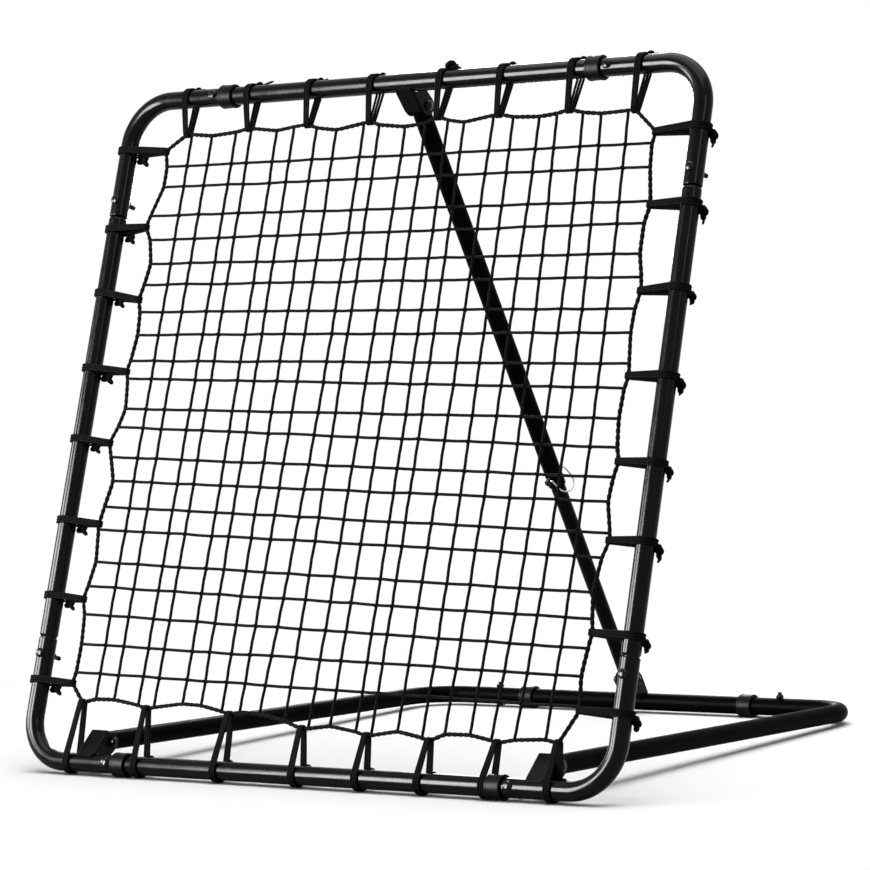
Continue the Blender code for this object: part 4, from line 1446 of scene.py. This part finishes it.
# ------------------------------------------------------------------------------- strut
@dataclass
class TelescopicStrut(Assembly):
    """Two tubes, one sliding in the other, with a lock pin through them and its wire bail."""

    lap: float = 0.014
    end_spare: float = 0.01875
    inner_length: float = 0.600
    inner_radius: float = 0.0105
    hole_pitch: float = 0.041
    spare_holes: int = 4
    pin_radius: float = 0.0035
    pin_hole: float = 0.0039
    top_hole: float = 0.0060
    pin_tip: float = 0.018
    head_radius: float = 0.005
    head_back: float = 0.0130
    head_end: float = 0.0205
    head_round: float = 0.0012
    grooves: Point = (0.0188, 0.0152)  # places along the pin
    groove_depth: float = 0.0005
    groove_run: tuple[float, float, float] = (0.0003, 0.0007, 0.0010)  # back from a groove's start
    tip_cuts: Sequence[Point] = ((0.0, 0.0012), (0.0010, 0.0003), (0.0014, 0.0))  # in, and back from the tip
    eye: float = 0.017
    bail_tip: float = 0.0195
    eye_play: float = 0.0003
    wire: float = 0.0011
    wire_bend: float = 0.0022
    wire_end: float = 0.001
    leg: float = 0.014
    crown: float = 0.016
    offset: float = 0.0072
    turn: float = math.radians(61.0)

    @property
    def at_pin(self) -> Matrix:
        """Axes at the middle of the lock pin, turned as the strut's are."""
        return LAYOUT.strut @ Matrix.Translation(Z_AXIS * LAYOUT.pin_height)

    def build(self) -> None:
        """Makes the strut's pieces."""
        self._outer()
        self._inner()
        self._pin()
        self._bail()

    def _outer(self) -> None:
        """Draws the outer tube, rounds its top and slots its mouth over the pin."""
        mouth = LAYOUT.pin_height - self.lap
        start = LAYOUT.strut @ Matrix.Translation(Z_AXIS * mouth)
        run = TubeRun(start, LAYOUT.tube_radius, LAYOUT.tube_wall)
        run.straight(LAYOUT.strut_length + self.end_spare - mouth)
        at_top = LAYOUT.strut @ Matrix.Translation(Z_AXIS * LAYOUT.strut_length)
        sideways = axes(Y_AXIS, Z_AXIS)
        slot = arc((0, 0), self.pin_hole, 0, 180, 16)
        slot += [(-self.pin_hole, -2 * self.lap), (self.pin_hole, -2 * self.lap)]
        tools = [
            nose(at_top @ sideways, LAYOUT.tube_radius),
            rod(self.top_hole, at_top @ sideways),
            prism(slot, THROUGH, self.at_pin @ axes(-X_AXIS, Z_AXIS)),
        ]
        # The outer tube takes the darker copy of the powder coat, as painted shade.
        self.shop.place(
            "strut_outer_slotted", carve(run.close(0), tools), Slot.ENAMEL, Body.STRUT_UPPER,
            ["strut_outer"], DRILLED_EDGE, 50, Special.SHADE_COAT,
        )

    def _inner(self) -> None:
        """Draws the inner tube, rounds its foot and drills its row of holes."""
        start = LAYOUT.strut @ Matrix.Translation(Z_AXIS * -self.end_spare)
        run = TubeRun(start, self.inner_radius, LAYOUT.tube_wall)
        run.straight(self.inner_length + self.end_spare)
        tools = [
            nose(LAYOUT.strut @ axes(-Y_AXIS, -Z_AXIS), self.inner_radius),
            rod(LAYOUT.pivot_hole, LAYOUT.strut @ axes(Y_AXIS, Z_AXIS)),
        ]
        for index in range(self.spare_holes + 1):
            place = self.at_pin @ Matrix.Translation(Z_AXIS * (index * self.hole_pitch))
            tools.append(rod(self.pin_hole, place @ axes(-X_AXIS, Z_AXIS), 32))
        self.shop.place(
            "strut_inner_drilled", carve(run.close(0), tools), Slot.STRUT_ENAMEL, Body.STRUT_LOWER,
            ["strut_inner"], DRILLED_EDGE, 50,
        )

    def _eye_axes(self) -> Matrix:
        """Axes at the bail's eye: X along the pin, Y away from the strut, Z along the eye."""
        sideways = X_AXIS * math.cos(self.turn) - Z_AXIS * math.sin(self.turn)
        return self.at_pin @ Matrix.Translation(Y_AXIS * -self.eye) @ axes(Y_AXIS, sideways)

    def _pin(self) -> None:
        """Turns the lock pin, with a grooved head and a chamfered tip, and drills its eye."""
        head, radius, tip, edge = self.head_radius, self.pin_radius, self.pin_tip, self.head_round
        depth = self.groove_depth
        first, second, third = self.groove_run
        profile = [(0, self.head_end), (head - edge, self.head_end)]
        profile += arc((head - edge, self.head_end - edge), edge, 80, 0, 4)
        for place in self.grooves:
            profile += [(head, place), (head - depth, place - first)]
            profile += [(head - depth, place - second), (head, place - third)]
        profile += [(head, self.head_back + depth), (head - depth, self.head_back)]
        profile.append((radius, self.head_back))
        profile += [(radius - inset, back - tip) for inset, back in self.tip_cuts]
        profile.append((0, -tip))
        shape = turned(profile, self.at_pin @ Matrix.Rotation(math.pi / 2, 4, "X"), SMALL_SIDES)
        shape = carve(shape, [rod(self.wire + self.eye_play, self._eye_axes(), 20)])
        body, edge, crease = Body.STRUT_LOWER, 0.0002, 30
        self.shop.place("lock_pin_turned", shape, Slot.FASTENER, body, ["lock_pin"], edge, crease)

    def _bail(self) -> None:
        """Bends the wire from the pin's eye, round one side of the strut, over the pin's tip."""
        span = self.eye + self.bail_tip
        plane = -self.offset
        bend = self.wire_bend
        line = [Vector((0, 0, self.head_radius + self.wire_end)), Vector((0, 0, plane + bend))]
        line += [Vector((0, bend - x, plane + bend - y)) for x, y in arc((0, 0), bend, 15, 75, 4)]
        for x, y in arc((0, 0), 1, 180, 0, 28):
            line.append(Vector((span / 2 * (1 + x), self.leg + self.crown * y, plane)))
        line += [Vector((span, bend - x, plane + bend - y)) for x, y in arc((0, 0), bend, 75, 15, 4)]
        line += [Vector((span, 0, plane + bend)), Vector((span, 0, self.wire_end))]
        shape = Strand(12).lay(line, self.wire).finish(self._eye_axes())
        bright = Special.BRIGHT_ZINC
        self.shop.place("pin_bail_wire", shape, Slot.FASTENER, Body.BAIL, ["pin_bail"], special=bright)


# ------------------------------------------------------------------------------- net
@dataclass(frozen=True)
class Edge:
    """One side of the net, in millimetres: where its ties stand and where its rope runs."""

    along: Vector
    outward: Vector
    ties: Sequence[float]
    nodes: Sequence[Point]
    places: Sequence[float]
    line: Sequence[float]
    rail: float

    def spot(self, place: float, line: float) -> Vector:
        """A point of this side, in the panel's axes and in metres."""
        across = Vector([abs(part) for part in self.outward])
        return (self.along * place + across * line) / 1000

    def ends(self) -> list[Vector]:
        """Where the cords that end on this side meet its rope, from the left or from the top."""
        return [self.spot(place, line) for place, line in zip(self.places, self.line)]

    def node(self, index: int) -> Vector:
        """Where the edge rope is tied."""
        return self.spot(*self.nodes[index])

    def tube(self, index: int) -> Vector:
        """The tube's centre line beside that tie."""
        return self.spot(self.ties[index], self.rail)


@dataclass
class KnottedNet(Assembly):
    """The net, its edge rope and the ties that lace it to the frame, in the panel's axes."""

    seed: int = 7
    cord_radius: float = 0.0020
    cord_steps: int = 4  # points from one knot to the next
    rope_strand: float = 0.0021
    rope_lay: float = 0.0008
    rope_pitch: float = 0.017
    rope_loose: float = 0.22
    rope_waves: int = 11
    rope_step: float = 0.002
    tie_radius: float = 0.0017
    tie_turns: int = 3
    tie_play: float = 0.0002
    tie_step: float = 0.0030
    knot_steps: int = 30
    knot_stretch: Point = (1.1, 0.9)  # along its loose ends, and off the tube
    knot_cord: float = 1.15  # thickness of its cord at least, of the tie's
    tail_share: float = 0.95  # thickness of its loose ends, of the tie's
    tail_steps: int = 5
    tail_curl: float = 0.004
    middle_height: float = 0.470  # where columns_middle was read
    weave: float = 0.0007
    jitter: float = 0.0006
    bow: float = 0.0003
    edge_margin: float = 0.006
    tie_margin: float = 0.009
    hitch_share: float = 0.55  # thickness of a hitch, of the cord's
    hitch_reach: float = 1.05  # its ring's radius, of the cord's
    hitch_stretch: Point = (1.15, 1.5)
    hitch_lean: Point = (38, 52)  # least and most, in degrees
    # X of the upright cords in millimetres, at their tops, at middle_height and at their ends below,
    # then the height of the level cords at both ends.
    columns_top: Sequence[float] = (
        -358, -322, -280, -254, -209, -180, -141, -107, -62, -36, 7,
        40, 76, 102.5, 148.5, 180, 221, 248, 288, 316, 357,
    )
    columns_middle: Sequence[float] = (
        -361, -328, -284, -256, -210, -181, -143, -109, -66, -37, 5,
        39, 77, 103, 145, 182, 220, 258, 296, 329, 367,
    )
    columns_bottom: Sequence[float] = (
        -366, -334, -291, -264, -216, -185, -149, -119, -86, -43, -4,
        30, 72, 97, 137, 176, 210, 248, 281, 315, 361,
    )
    rows_left: Sequence[float] = (
        838, 808, 767, 732, 697, 667, 628, 595, 558, 533, 490,
        464, 422, 388, 352, 320, 275, 241, 202, 161, 122,
    )
    rows_right: Sequence[float] = (
        828, 796, 751, 722, 682, 651, 610, 579, 539, 507, 468,
        431, 393, 362, 322, 291, 247, 214, 177, 142, 104,
    )
    top: Edge = field(init=False)
    right: Edge = field(init=False)
    bottom: Edge = field(init=False)
    left: Edge = field(init=False)
    edges: Sequence[Edge] = field(init=False)
    rope: list[Vector] = field(init=False)

    def __post_init__(self) -> None:
        """Sets out the four sides, clockwise from the top left."""
        half, height = 1000 * LAYOUT.frame_half, 1000 * LAYOUT.frame_height
        self.top = Edge(
            X_AXIS, Z_AXIS, (-370, -262, -157, -52.5, 61, 158, 268.5, 370.5),
            ((-366, 884), (-258, 886.5), (-157, 886), (-52, 884),
             (59, 884), (156, 881.5), (266, 881), (367, 875)),
            self.columns_top,
            (883, 879, 882, 885.5, 880, 884, 880, 875, 882, 878, 873,
             876, 878, 873.5, 879, 876, 874, 876.5, 875.5, 872.5, 874), height,
        )
        self.right = Edge(
            Z_AXIS, X_AXIS, (845, 745, 634.5, 521, 410, 311, 193, 97),
            ((843, 403), (746, 409), (633, 412), (523, 411),
             (413, 413), (313, 415), (197, 408), (100, 405)),
            self.rows_right,
            (399, 401, 408, 403, 403, 410, 406.5, 405, 409, 406.5, 404.5,
             408, 408, 405, 414, 407, 401, 405, 404.5, 400, 405), half,
        )
        self.bottom = Edge(
            X_AXIS, -Z_AXIS, (380.3, 283.8, 186, 89.6, -11, -139, -272, -390),
            ((380, 58), (290, 54.5), (187.5, 52.5), (90, 55),
             (-14, 60), (-135, 74), (-276, 76.5), (-388, 81)),
            self.columns_bottom,
            (86.5, 87, 81, 79, 85.5, 84.5, 78, 78, 77, 69, 61,
             65.5, 60, 58, 63, 56.5, 62.5, 63, 57.5, 59.5, 62), 0,
        )
        self.left = Edge(
            Z_AXIS, -X_AXIS, (109, 226, 331.5, 446.5, 547.5, 655.5, 748, 863),
            ((107, -411.7), (223, -417), (328, -411), (442, -416),
             (543, -406.7), (646, -405.7), (751, -414), (861, -400)),
            self.rows_left,
            (-393.5, -393.5, -409, -402.5, -394.5, -400, -399.5, -397, -402, -402, -397,
             -405, -409, -398, -406, -408, -405, -412, -410, -406.7, -408), -half,
        )
        self.edges = (self.top, self.right, self.bottom, self.left)
        self.rope = self._rope_line()

    def build(self) -> None:
        """Makes the net's cords and knots, its edge rope and its ties."""
        random.seed(self.seed)
        self._make_net()
        self._make_lacing()

    def _rope_line(self) -> list[Vector]:
        """Draws the edge rope through every tie and every cord's end.

        Returns:
            Its closed centre line.
        """
        line = []
        for edge in self.edges:
            nodes = [edge.node(index) for index in range(len(edge.nodes))]
            ahead = (nodes[-1] - nodes[0]).normalized()
            low = nodes[0].dot(ahead) + self.edge_margin
            high = nodes[-1].dot(ahead) - self.edge_margin
            ends = [end for end in edge.ends() if low < end.dot(ahead) < high]
            free = [end for end in ends if min((end - node).length for node in nodes) > self.tie_margin]
            line += sorted(nodes + free, key=lambda point: point.dot(ahead))
        eased = smoothed(resampled(line, 2 * self.rope_step, True), 2)
        return resampled(eased, self.rope_step, True)

    def _columns(self) -> list[tuple[Vector, Vector, float]]:
        """Sets out the upright cords.

        Returns:
            Each cord's top and bottom, and how far its middle lies to the right of a straight line.
        """
        columns = []
        for top, middle, bottom in zip(self.top.ends(), self.columns_middle, self.bottom.ends()):
            share = (top.z - self.middle_height) / (top.z - bottom.z)
            bulge = middle / 1000 - top.x - (bottom.x - top.x) * share
            columns.append((top, bottom, bulge))
        return columns

    def _crossing(self, left: Vector, right: Vector, top: Vector, bottom: Vector, bulge: float) -> Vector:
        """Finds where a level cord and an upright one cross, a little off by chance.

        Args:
            left: the level cord's left end.
            right: its right end.
            top: the upright cord's top.
            bottom: its bottom.
            bulge: how far its middle lies to the right of a straight line.

        Returns:
            The crossing.
        """
        x = top.x
        for _ in range(4):
            height = left.z + (right.z - left.z) * (x - left.x) / (right.x - left.x)
            share = (top.z - height) / (top.z - bottom.z)
            x = top.x + (bottom.x - top.x) * share + bulge * 4 * share * (1 - share)
        shift = Vector((random.uniform(-1, 1), 0, random.uniform(-1, 1))) * self.jitter
        return Vector((x, 0, height)) + shift

    def _make_net(self) -> None:
        """Lays every cord and ties a knot where two cross."""
        columns = self._columns()
        rows = list(zip(self.left.ends(), self.right.ends()))
        grid = [[self._crossing(*row, *column) for column in columns] for row in rows]
        strand = Strand(8)
        for index, (top, bottom, _) in enumerate(columns):
            lowest = bottom.z + self.edge_margin
            stops = [line[index] for line in grid if line[index].z > lowest]
            self._lay_cord(strand, [top] + stops + [bottom], self.weave)
        for (left, right), line in zip(rows, grid):
            self._lay_cord(strand, [left] + line + [right], -self.weave)
        net = strand.finish(LAYOUT.panel)
        pour(self._knots([place for line in grid for place in line]), net)
        self.shop.place("net_knotted", net, Slot.NET_CORD, Body.FRAME, ["net"], crease=180)

    def _lay_cord(self, strand: Strand, stops: Sequence[Vector], weave: float) -> None:
        """Lays one cord of the net, passing to one side of the net's plane at every knot.

        Args:
            strand: what it is laid in.
            stops: its ends and the knots between them.
            weave: how far it stands off the plane at a knot, and to which side.
        """
        inside = []
        for place, (first, second) in enumerate(zip(stops, stops[1:])):
            bow = random.uniform(-self.bow, self.bow)
            side = (second - first).cross(Y_AXIS).normalized()
            for step in range(self.cord_steps):
                share = step / self.cord_steps
                near = abs(math.cos(math.pi * share)) if place or step else 0
                point = first.lerp(second, share) + side * (bow * 4 * share * (1 - share))
                inside.append(point + Y_AXIS * (weave * near))
        inside.append(stops[-1])
        strand.lay(inside, self.cord_radius)

    def _hitch(self) -> bpy.types.Mesh:
        """Turns one hitch, a plain ring that goes round a crossing.

        Returns:
            Its mesh, which lies flat at the origin.
        """
        ring = bmesh.new()
        upright = Matrix.Rotation(math.pi / 2, 4, "X")
        circle = bmesh.ops.create_circle(
            ring, cap_ends=False, segments=5, radius=self.cord_radius * self.hitch_share,
            matrix=Matrix.Translation((self.cord_radius * self.hitch_reach, 0, 0)) @ upright,
        )["verts"]
        spun(ring, circle + ring_edges(circle), (0, 0, 0), Z_AXIS, FULL_TURN, 7)
        bmesh.ops.recalc_face_normals(ring, faces=ring.faces)
        return as_mesh(ring, "hitch")

    def _knots(self, places: Sequence[Vector]) -> Shape:
        """Ties a small slanting hitch at every crossing.

        Args:
            places: the crossings, in the panel's axes.

        Returns:
            All the hitches as one shape, placed in the world.
        """
        pattern = self._hitch()
        stretch = Matrix.Diagonal((*self.hitch_stretch, 1, 1))
        whole = bmesh.new()
        for place in places:
            lean = random.choice((-1, 1)) * math.radians(random.uniform(*self.hitch_lean))
            turn = Matrix.Rotation(lean, 4, "Y") @ Matrix.Rotation(math.pi / 2, 4, "Y")
            copy = pattern.copy()
            copy.transform(LAYOUT.panel @ Matrix.Translation(place) @ turn @ stretch)
            whole.from_mesh(copy)
            bpy.data.meshes.remove(copy)
        bpy.data.meshes.remove(pattern)
        return whole

    def _make_lacing(self) -> None:
        """Twists the edge rope and fits every tie with its knot and loose ends."""
        strand = Strand(8)
        for start in (0, math.pi):
            strand.lay(self._rope_ply(start), self.rope_strand, closed=True)
        for edge in self.edges:
            for index in range(len(edge.ties)):
                self._tie(strand, edge, index)
        shape = strand.finish(LAYOUT.panel)
        slot = Slot.LACING_CORD
        self.shop.place("edge_rope_and_ties", shape, slot, Body.FRAME, ["edge_lacing"], crease=180)

    def _rope_ply(self, start: float) -> list[Vector]:
        """Winds one of the edge rope's two plies, looser in some places than in others.

        Args:
            start: angle at which it starts.

        Returns:
            Its closed centre line.
        """
        count = len(self.rope)
        turns = round(count * self.rope_step / self.rope_pitch)
        line = []
        for index, point in enumerate(self.rope):
            ahead = self.rope[(index + 1) % count] - self.rope[index - 1]
            side = ahead.cross(Y_AXIS).normalized()
            angle = 2 * math.pi * turns * index / count + start
            loose = 1 + self.rope_loose * math.sin(self.rope_waves * index / count * 2 * math.pi + 1)
            off = side * math.cos(angle) + Y_AXIS * math.sin(angle)
            line.append(point + off * self.rope_lay * loose)
        return line

    def _turn_of_cord(
        self, tube: Vector, node: Vector, edge: Edge, front: float, back: float
    ) -> list[Vector]:
        """Winds one turn of a tie, as a belt round the tube and the edge rope.

        Args:
            tube: the tube's centre line beside it.
            node: the rope's centre line beside it.
            edge: the side that it stands on.
            front: how far along the side its front strand lies.
            back: the same for its back strand.

        Returns:
            The closed line.
        """
        big = LAYOUT.tube_radius + self.tie_radius + self.tie_play
        small = self.rope_lay + self.rope_strand + self.tie_radius
        inward = -edge.outward
        reach = (tube - node).dot(edge.outward)
        slope = math.degrees(math.acos((big - small) / reach))
        slant = (tube - node).dot(edge.along)
        points = []
        near, far = (0, small, -slope, slope, 8), (1, big, slope, 360 - slope, 22)
        for share, radius, start, stop, steps in (near, far):
            for x, y in arc((0, 0), radius, start, stop, steps):
                spread = (front + (back - front) * (0.5 + 0.5 * y / radius)) * (0.75 + 0.25 * share)
                middle = node + edge.outward * (reach * share) + edge.along * (slant * share)
                points.append(middle + inward * x + Y_AXIS * y + edge.along * spread)
        return points

    def _tie(self, strand: Strand, edge: Edge, index: int) -> None:
        """Lays a tie's turns, its knot and its loose ends.

        Args:
            strand: what it is laid in.
            edge: the side that it stands on.
            index: which of the side's ties it is.
        """
        tube, node = edge.tube(index), edge.node(index)
        middle = (self.tie_turns - 1) / 2
        slack = random.uniform(1.25, 1.6) if edge is self.top else random.uniform(1.0, 1.12)
        for turn in range(self.tie_turns):
            front = (turn - middle) * 2 * self.tie_radius
            loop = self._turn_of_cord(tube, node, edge, front, front * slack)
            loop = smoothed(resampled(loop, self.tie_step, True), 1)
            strand.lay(loop, self.tie_radius, closed=True)
        size, ends = random.uniform(0.0018, 0.0022), random.uniform(0.006, 0.012)
        if edge is self.left:
            spot, fall = Vector((0.0175, 0.0120, -0.0080)), (X_AXIS - Z_AXIS * 0.35).normalized()
            size, ends = random.uniform(0.0024, 0.0030), random.uniform(0.003, 0.007)
        elif edge is self.right:
            spot, fall = Vector((0.0125, 0.0125, -0.0075)), (X_AXIS * 0.35 - Z_AXIS).normalized()
            size, ends = random.uniform(0.0023, 0.0029), random.uniform(0.004, 0.010)
        elif edge is self.top:
            spot, fall = Vector((0.0020, 0.0125, 0.0150)), X_AXIS
            if index == 1:
                ends = 0.024
            if index == 4:
                spot, size = Vector((0.0050, 0.0060, 0.0195)), 0.0030
        else:
            spot, fall = Vector((0.0040, 0.0175, 0.0105)), X_AXIS
        away = spot - edge.along * spot.dot(edge.along)
        self._knot(strand, tube + spot, away.normalized(), fall, size, ends)

    def _knot(
        self, strand: Strand, spot: Vector, away: Vector, fall: Vector, size: float, ends: float
    ) -> None:
        """Lays a drawn-up overhand knot with two loose ends.

        Args:
            strand: what it is laid in.
            spot: its middle.
            away: direction away from the tube.
            fall: direction of its loose ends.
            size: a third of its half width.
            ends: length of its loose ends.
        """
        across = away.cross(fall).normalized()
        long, flat = self.knot_stretch
        shares = [step / self.tail_steps for step in range(self.tail_steps + 1)]
        points = []
        for step in range(self.knot_steps):
            angle = 2 * math.pi * step / self.knot_steps
            x = math.sin(angle) + 2 * math.sin(2 * angle)
            y = math.cos(angle) - 2 * math.cos(2 * angle)
            z = -math.sin(3 * angle)
            points.append(spot + (fall * (x * long) + across * y + away * (z * flat)) * size)
        strand.lay(points, max(self.tie_radius * self.knot_cord, size), closed=True)
        for sign in (-1, 1):
            length = ends * random.uniform(0.8, 1.2)
            spread = sign * random.uniform(0.1, 0.4)
            heading = (fall + across * spread + away * random.uniform(0.0, 0.25)).normalized()
            root = spot + fall * (2 * size) + across * (sign * size)
            tail = [root + heading * (length * s) - away * (self.tail_curl * s ** 2) for s in shares]
            strand.lay(tail, self.tie_radius * self.tail_share, taper=True)


# ------------------------------------------------------------------------------- studio
@dataclass
class Studio:
    """Camera, pale floor and plain soft light."""

    eye: tuple[float, float, float] = (2.8069, -4.0504, 0.6458)
    azimuth: float = math.radians(35.267)
    elevation: float = math.radians(2.502)
    roll: float = math.radians(-2.272)
    focal_pixels: float = 3617.674
    picture: int = 870
    sensor: float = 36.0
    clip: float = 200.0
    world_light: float = 0.26
    aim: tuple[float, float, float] = (0, 0, 0.45)
    floor_radius: float = 40.0
    floor_tone: float = 0.8
    lit_floor: float = 0.62
    white_floor: float = 1.5

    def build(self) -> None:
        """Sets up the camera, the world, the lamps and the floor."""
        self._camera()
        self._world()
        self._lamps()
        self._floor()
        bpy.context.scene.view_settings.view_transform = "Standard"

    def _camera(self) -> None:
        """Stands the camera where the photograph was taken from."""
        az, el, roll = self.azimuth, self.elevation, self.roll
        back = Vector((math.sin(az) * math.cos(el), -math.cos(az) * math.cos(el), math.sin(el)))
        right = Vector((math.cos(az), math.sin(az), 0))
        up = back.cross(right)
        level_right = right * math.cos(roll) + up * math.sin(roll)
        level_up = up * math.cos(roll) - right * math.sin(roll)
        data = bpy.data.cameras.new("studio_camera")
        data.sensor_width = self.sensor
        data.lens = self.focal_pixels / self.picture * self.sensor
        data.clip_end = self.clip
        camera = bpy.data.objects.new("studio_camera", data)
        turn = Matrix((level_right, level_up, back)).transposed().to_4x4()
        camera.matrix_world = Matrix.Translation(self.eye) @ turn
        bpy.context.scene.collection.objects.link(camera)
        bpy.context.scene.camera = camera

    def _seen(self, tree: bpy.types.NodeTree) -> Socket:
        """Tells rays that see a surface from rays that light one.

        Args:
            tree: the node tree that needs it.

        Returns:
            One where a ray comes from the camera, a gloss or a clear surface.
        """
        path = tree.nodes.new("ShaderNodeLightPath")
        total = path.outputs["Is Camera Ray"]
        for name in ("Is Glossy Ray", "Is Transmission Ray"):
            add = tree.nodes.new("ShaderNodeMath")
            add.operation = "MAXIMUM"
            tree.links.new(total, add.inputs[0])
            tree.links.new(path.outputs[name], add.inputs[1])
            total = add.outputs[0]
        return total

    def _world(self) -> None:
        """White background, with less of it in the light that falls on things."""
        world = bpy.data.worlds.new("studio")
        bpy.context.scene.world = world
        world.use_nodes = True
        tree = world.node_tree
        backdrop = tree.nodes["Background"]
        backdrop.inputs["Color"].default_value = (1, 1, 1, 1)
        strength = tree.nodes.new("ShaderNodeMapRange")
        strength.inputs["To Min"].default_value = self.world_light
        strength.inputs["To Max"].default_value = 1.0
        tree.links.new(self._seen(tree), strength.inputs["Value"])
        tree.links.new(strength.outputs[0], backdrop.inputs["Strength"])

    def _lamp(
        self, name: str, place: Vector, aim: Vector, size: Point, watts: float, gleam: bool = False
    ) -> None:
        """Hangs one soft box.

        Args:
            name: the lamp's name.
            place: where it hangs.
            aim: what it faces.
            size: its width and height.
            watts: its power.
            gleam: whether it is seen in gloss alone, so that it doesn't wash out the floor's shadow.
        """
        data = bpy.data.lights.new(name, "AREA")
        data.shape = "RECTANGLE"
        data.size, data.size_y = size
        data.energy = watts
        lamp = bpy.data.objects.new(name, data)
        turn = (place - aim).to_track_quat("Z", "Y").to_matrix().to_4x4()
        lamp.matrix_world = Matrix.Translation(place) @ turn
        lamp.visible_camera = False
        lamp.visible_diffuse = not gleam
        bpy.context.scene.collection.objects.link(lamp)

    def _lamps(self) -> None:
        """Hangs a broad box overhead, and boxes that only draw streaks down the glossy tubes."""
        self._lamp("overhead", Vector((0.1, 0.0, 3.2)), Vector(), (3.2, 3.2), 120)
        for name, place, size, watts in (
            ("rail_box", (-1.40, -2.7, 0.90), (0.95, 1.70), 430.0),
            ("side_box_low", (-2.86, -1.65, 1.00), (1.50, 0.90), 190.0),
            ("side_box_high", (3.40, -1.65, 2.75), (0.60, 1.2), 20.0),
            ("fill_box", (-2.05, -2.45, 1.30), (0.70, 2.40), 22.0),
            ("rear_box", (-1.9, 2.9, 1.50), (0.60, 1.8), 60.0),
        ):
            self._lamp(name, Vector(place), Vector(self.aim), size, watts, True)

    def _floor(self) -> None:
        """Lays a wide pale floor that keeps the object's shadow."""
        shape = bmesh.new()
        bmesh.ops.create_circle(shape, cap_ends=True, segments=96, radius=self.floor_radius)
        floor = as_object(shape, "studio_floor")
        bench = NodeBench("pale_floor")
        seen = self._seen(bench.tree)
        reach = bench.add("ShaderNodeVectorMath", {0: bench.place()}, 1, operation="LENGTH")
        far = bench.math("MULTIPLY", seen, bench.span(reach, self.lit_floor, self.white_floor, 0, 1))
        near = bench.math("SUBTRACT", 1.0, far)
        tint = bench.add("ShaderNodeCombineColor", {0: near, 1: near, 2: near})
        pale = (self.floor_tone, self.floor_tone, self.floor_tone, 1)
        mixed = bench.add("ShaderNodeMix", {"Factor": seen, 6: pale, 7: tint}, 2, data_type="RGBA")
        finish = bench.dress(
            Base_Color=mixed, Roughness=0.9, Specular_IOR_Level=0.0,
            Emission_Color=(1, 1, 1, 1), Emission_Strength=far,
        )
        floor.data.materials.append(finish)


def main() -> None:
    """Builds the studio and then every sub-assembly."""
    logging.basicConfig(level=logging.INFO, format="%(name)s %(message)s")
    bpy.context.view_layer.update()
    Studio().build()
    shop = Workshop()
    tubes = SquareFrame(shop)
    for part in (tubes, Brackets(shop), BaseLoop(shop, tubes), TelescopicStrut(shop), KnottedNet(shop)):
        part.build()


if __name__ == "__main__":
    main()
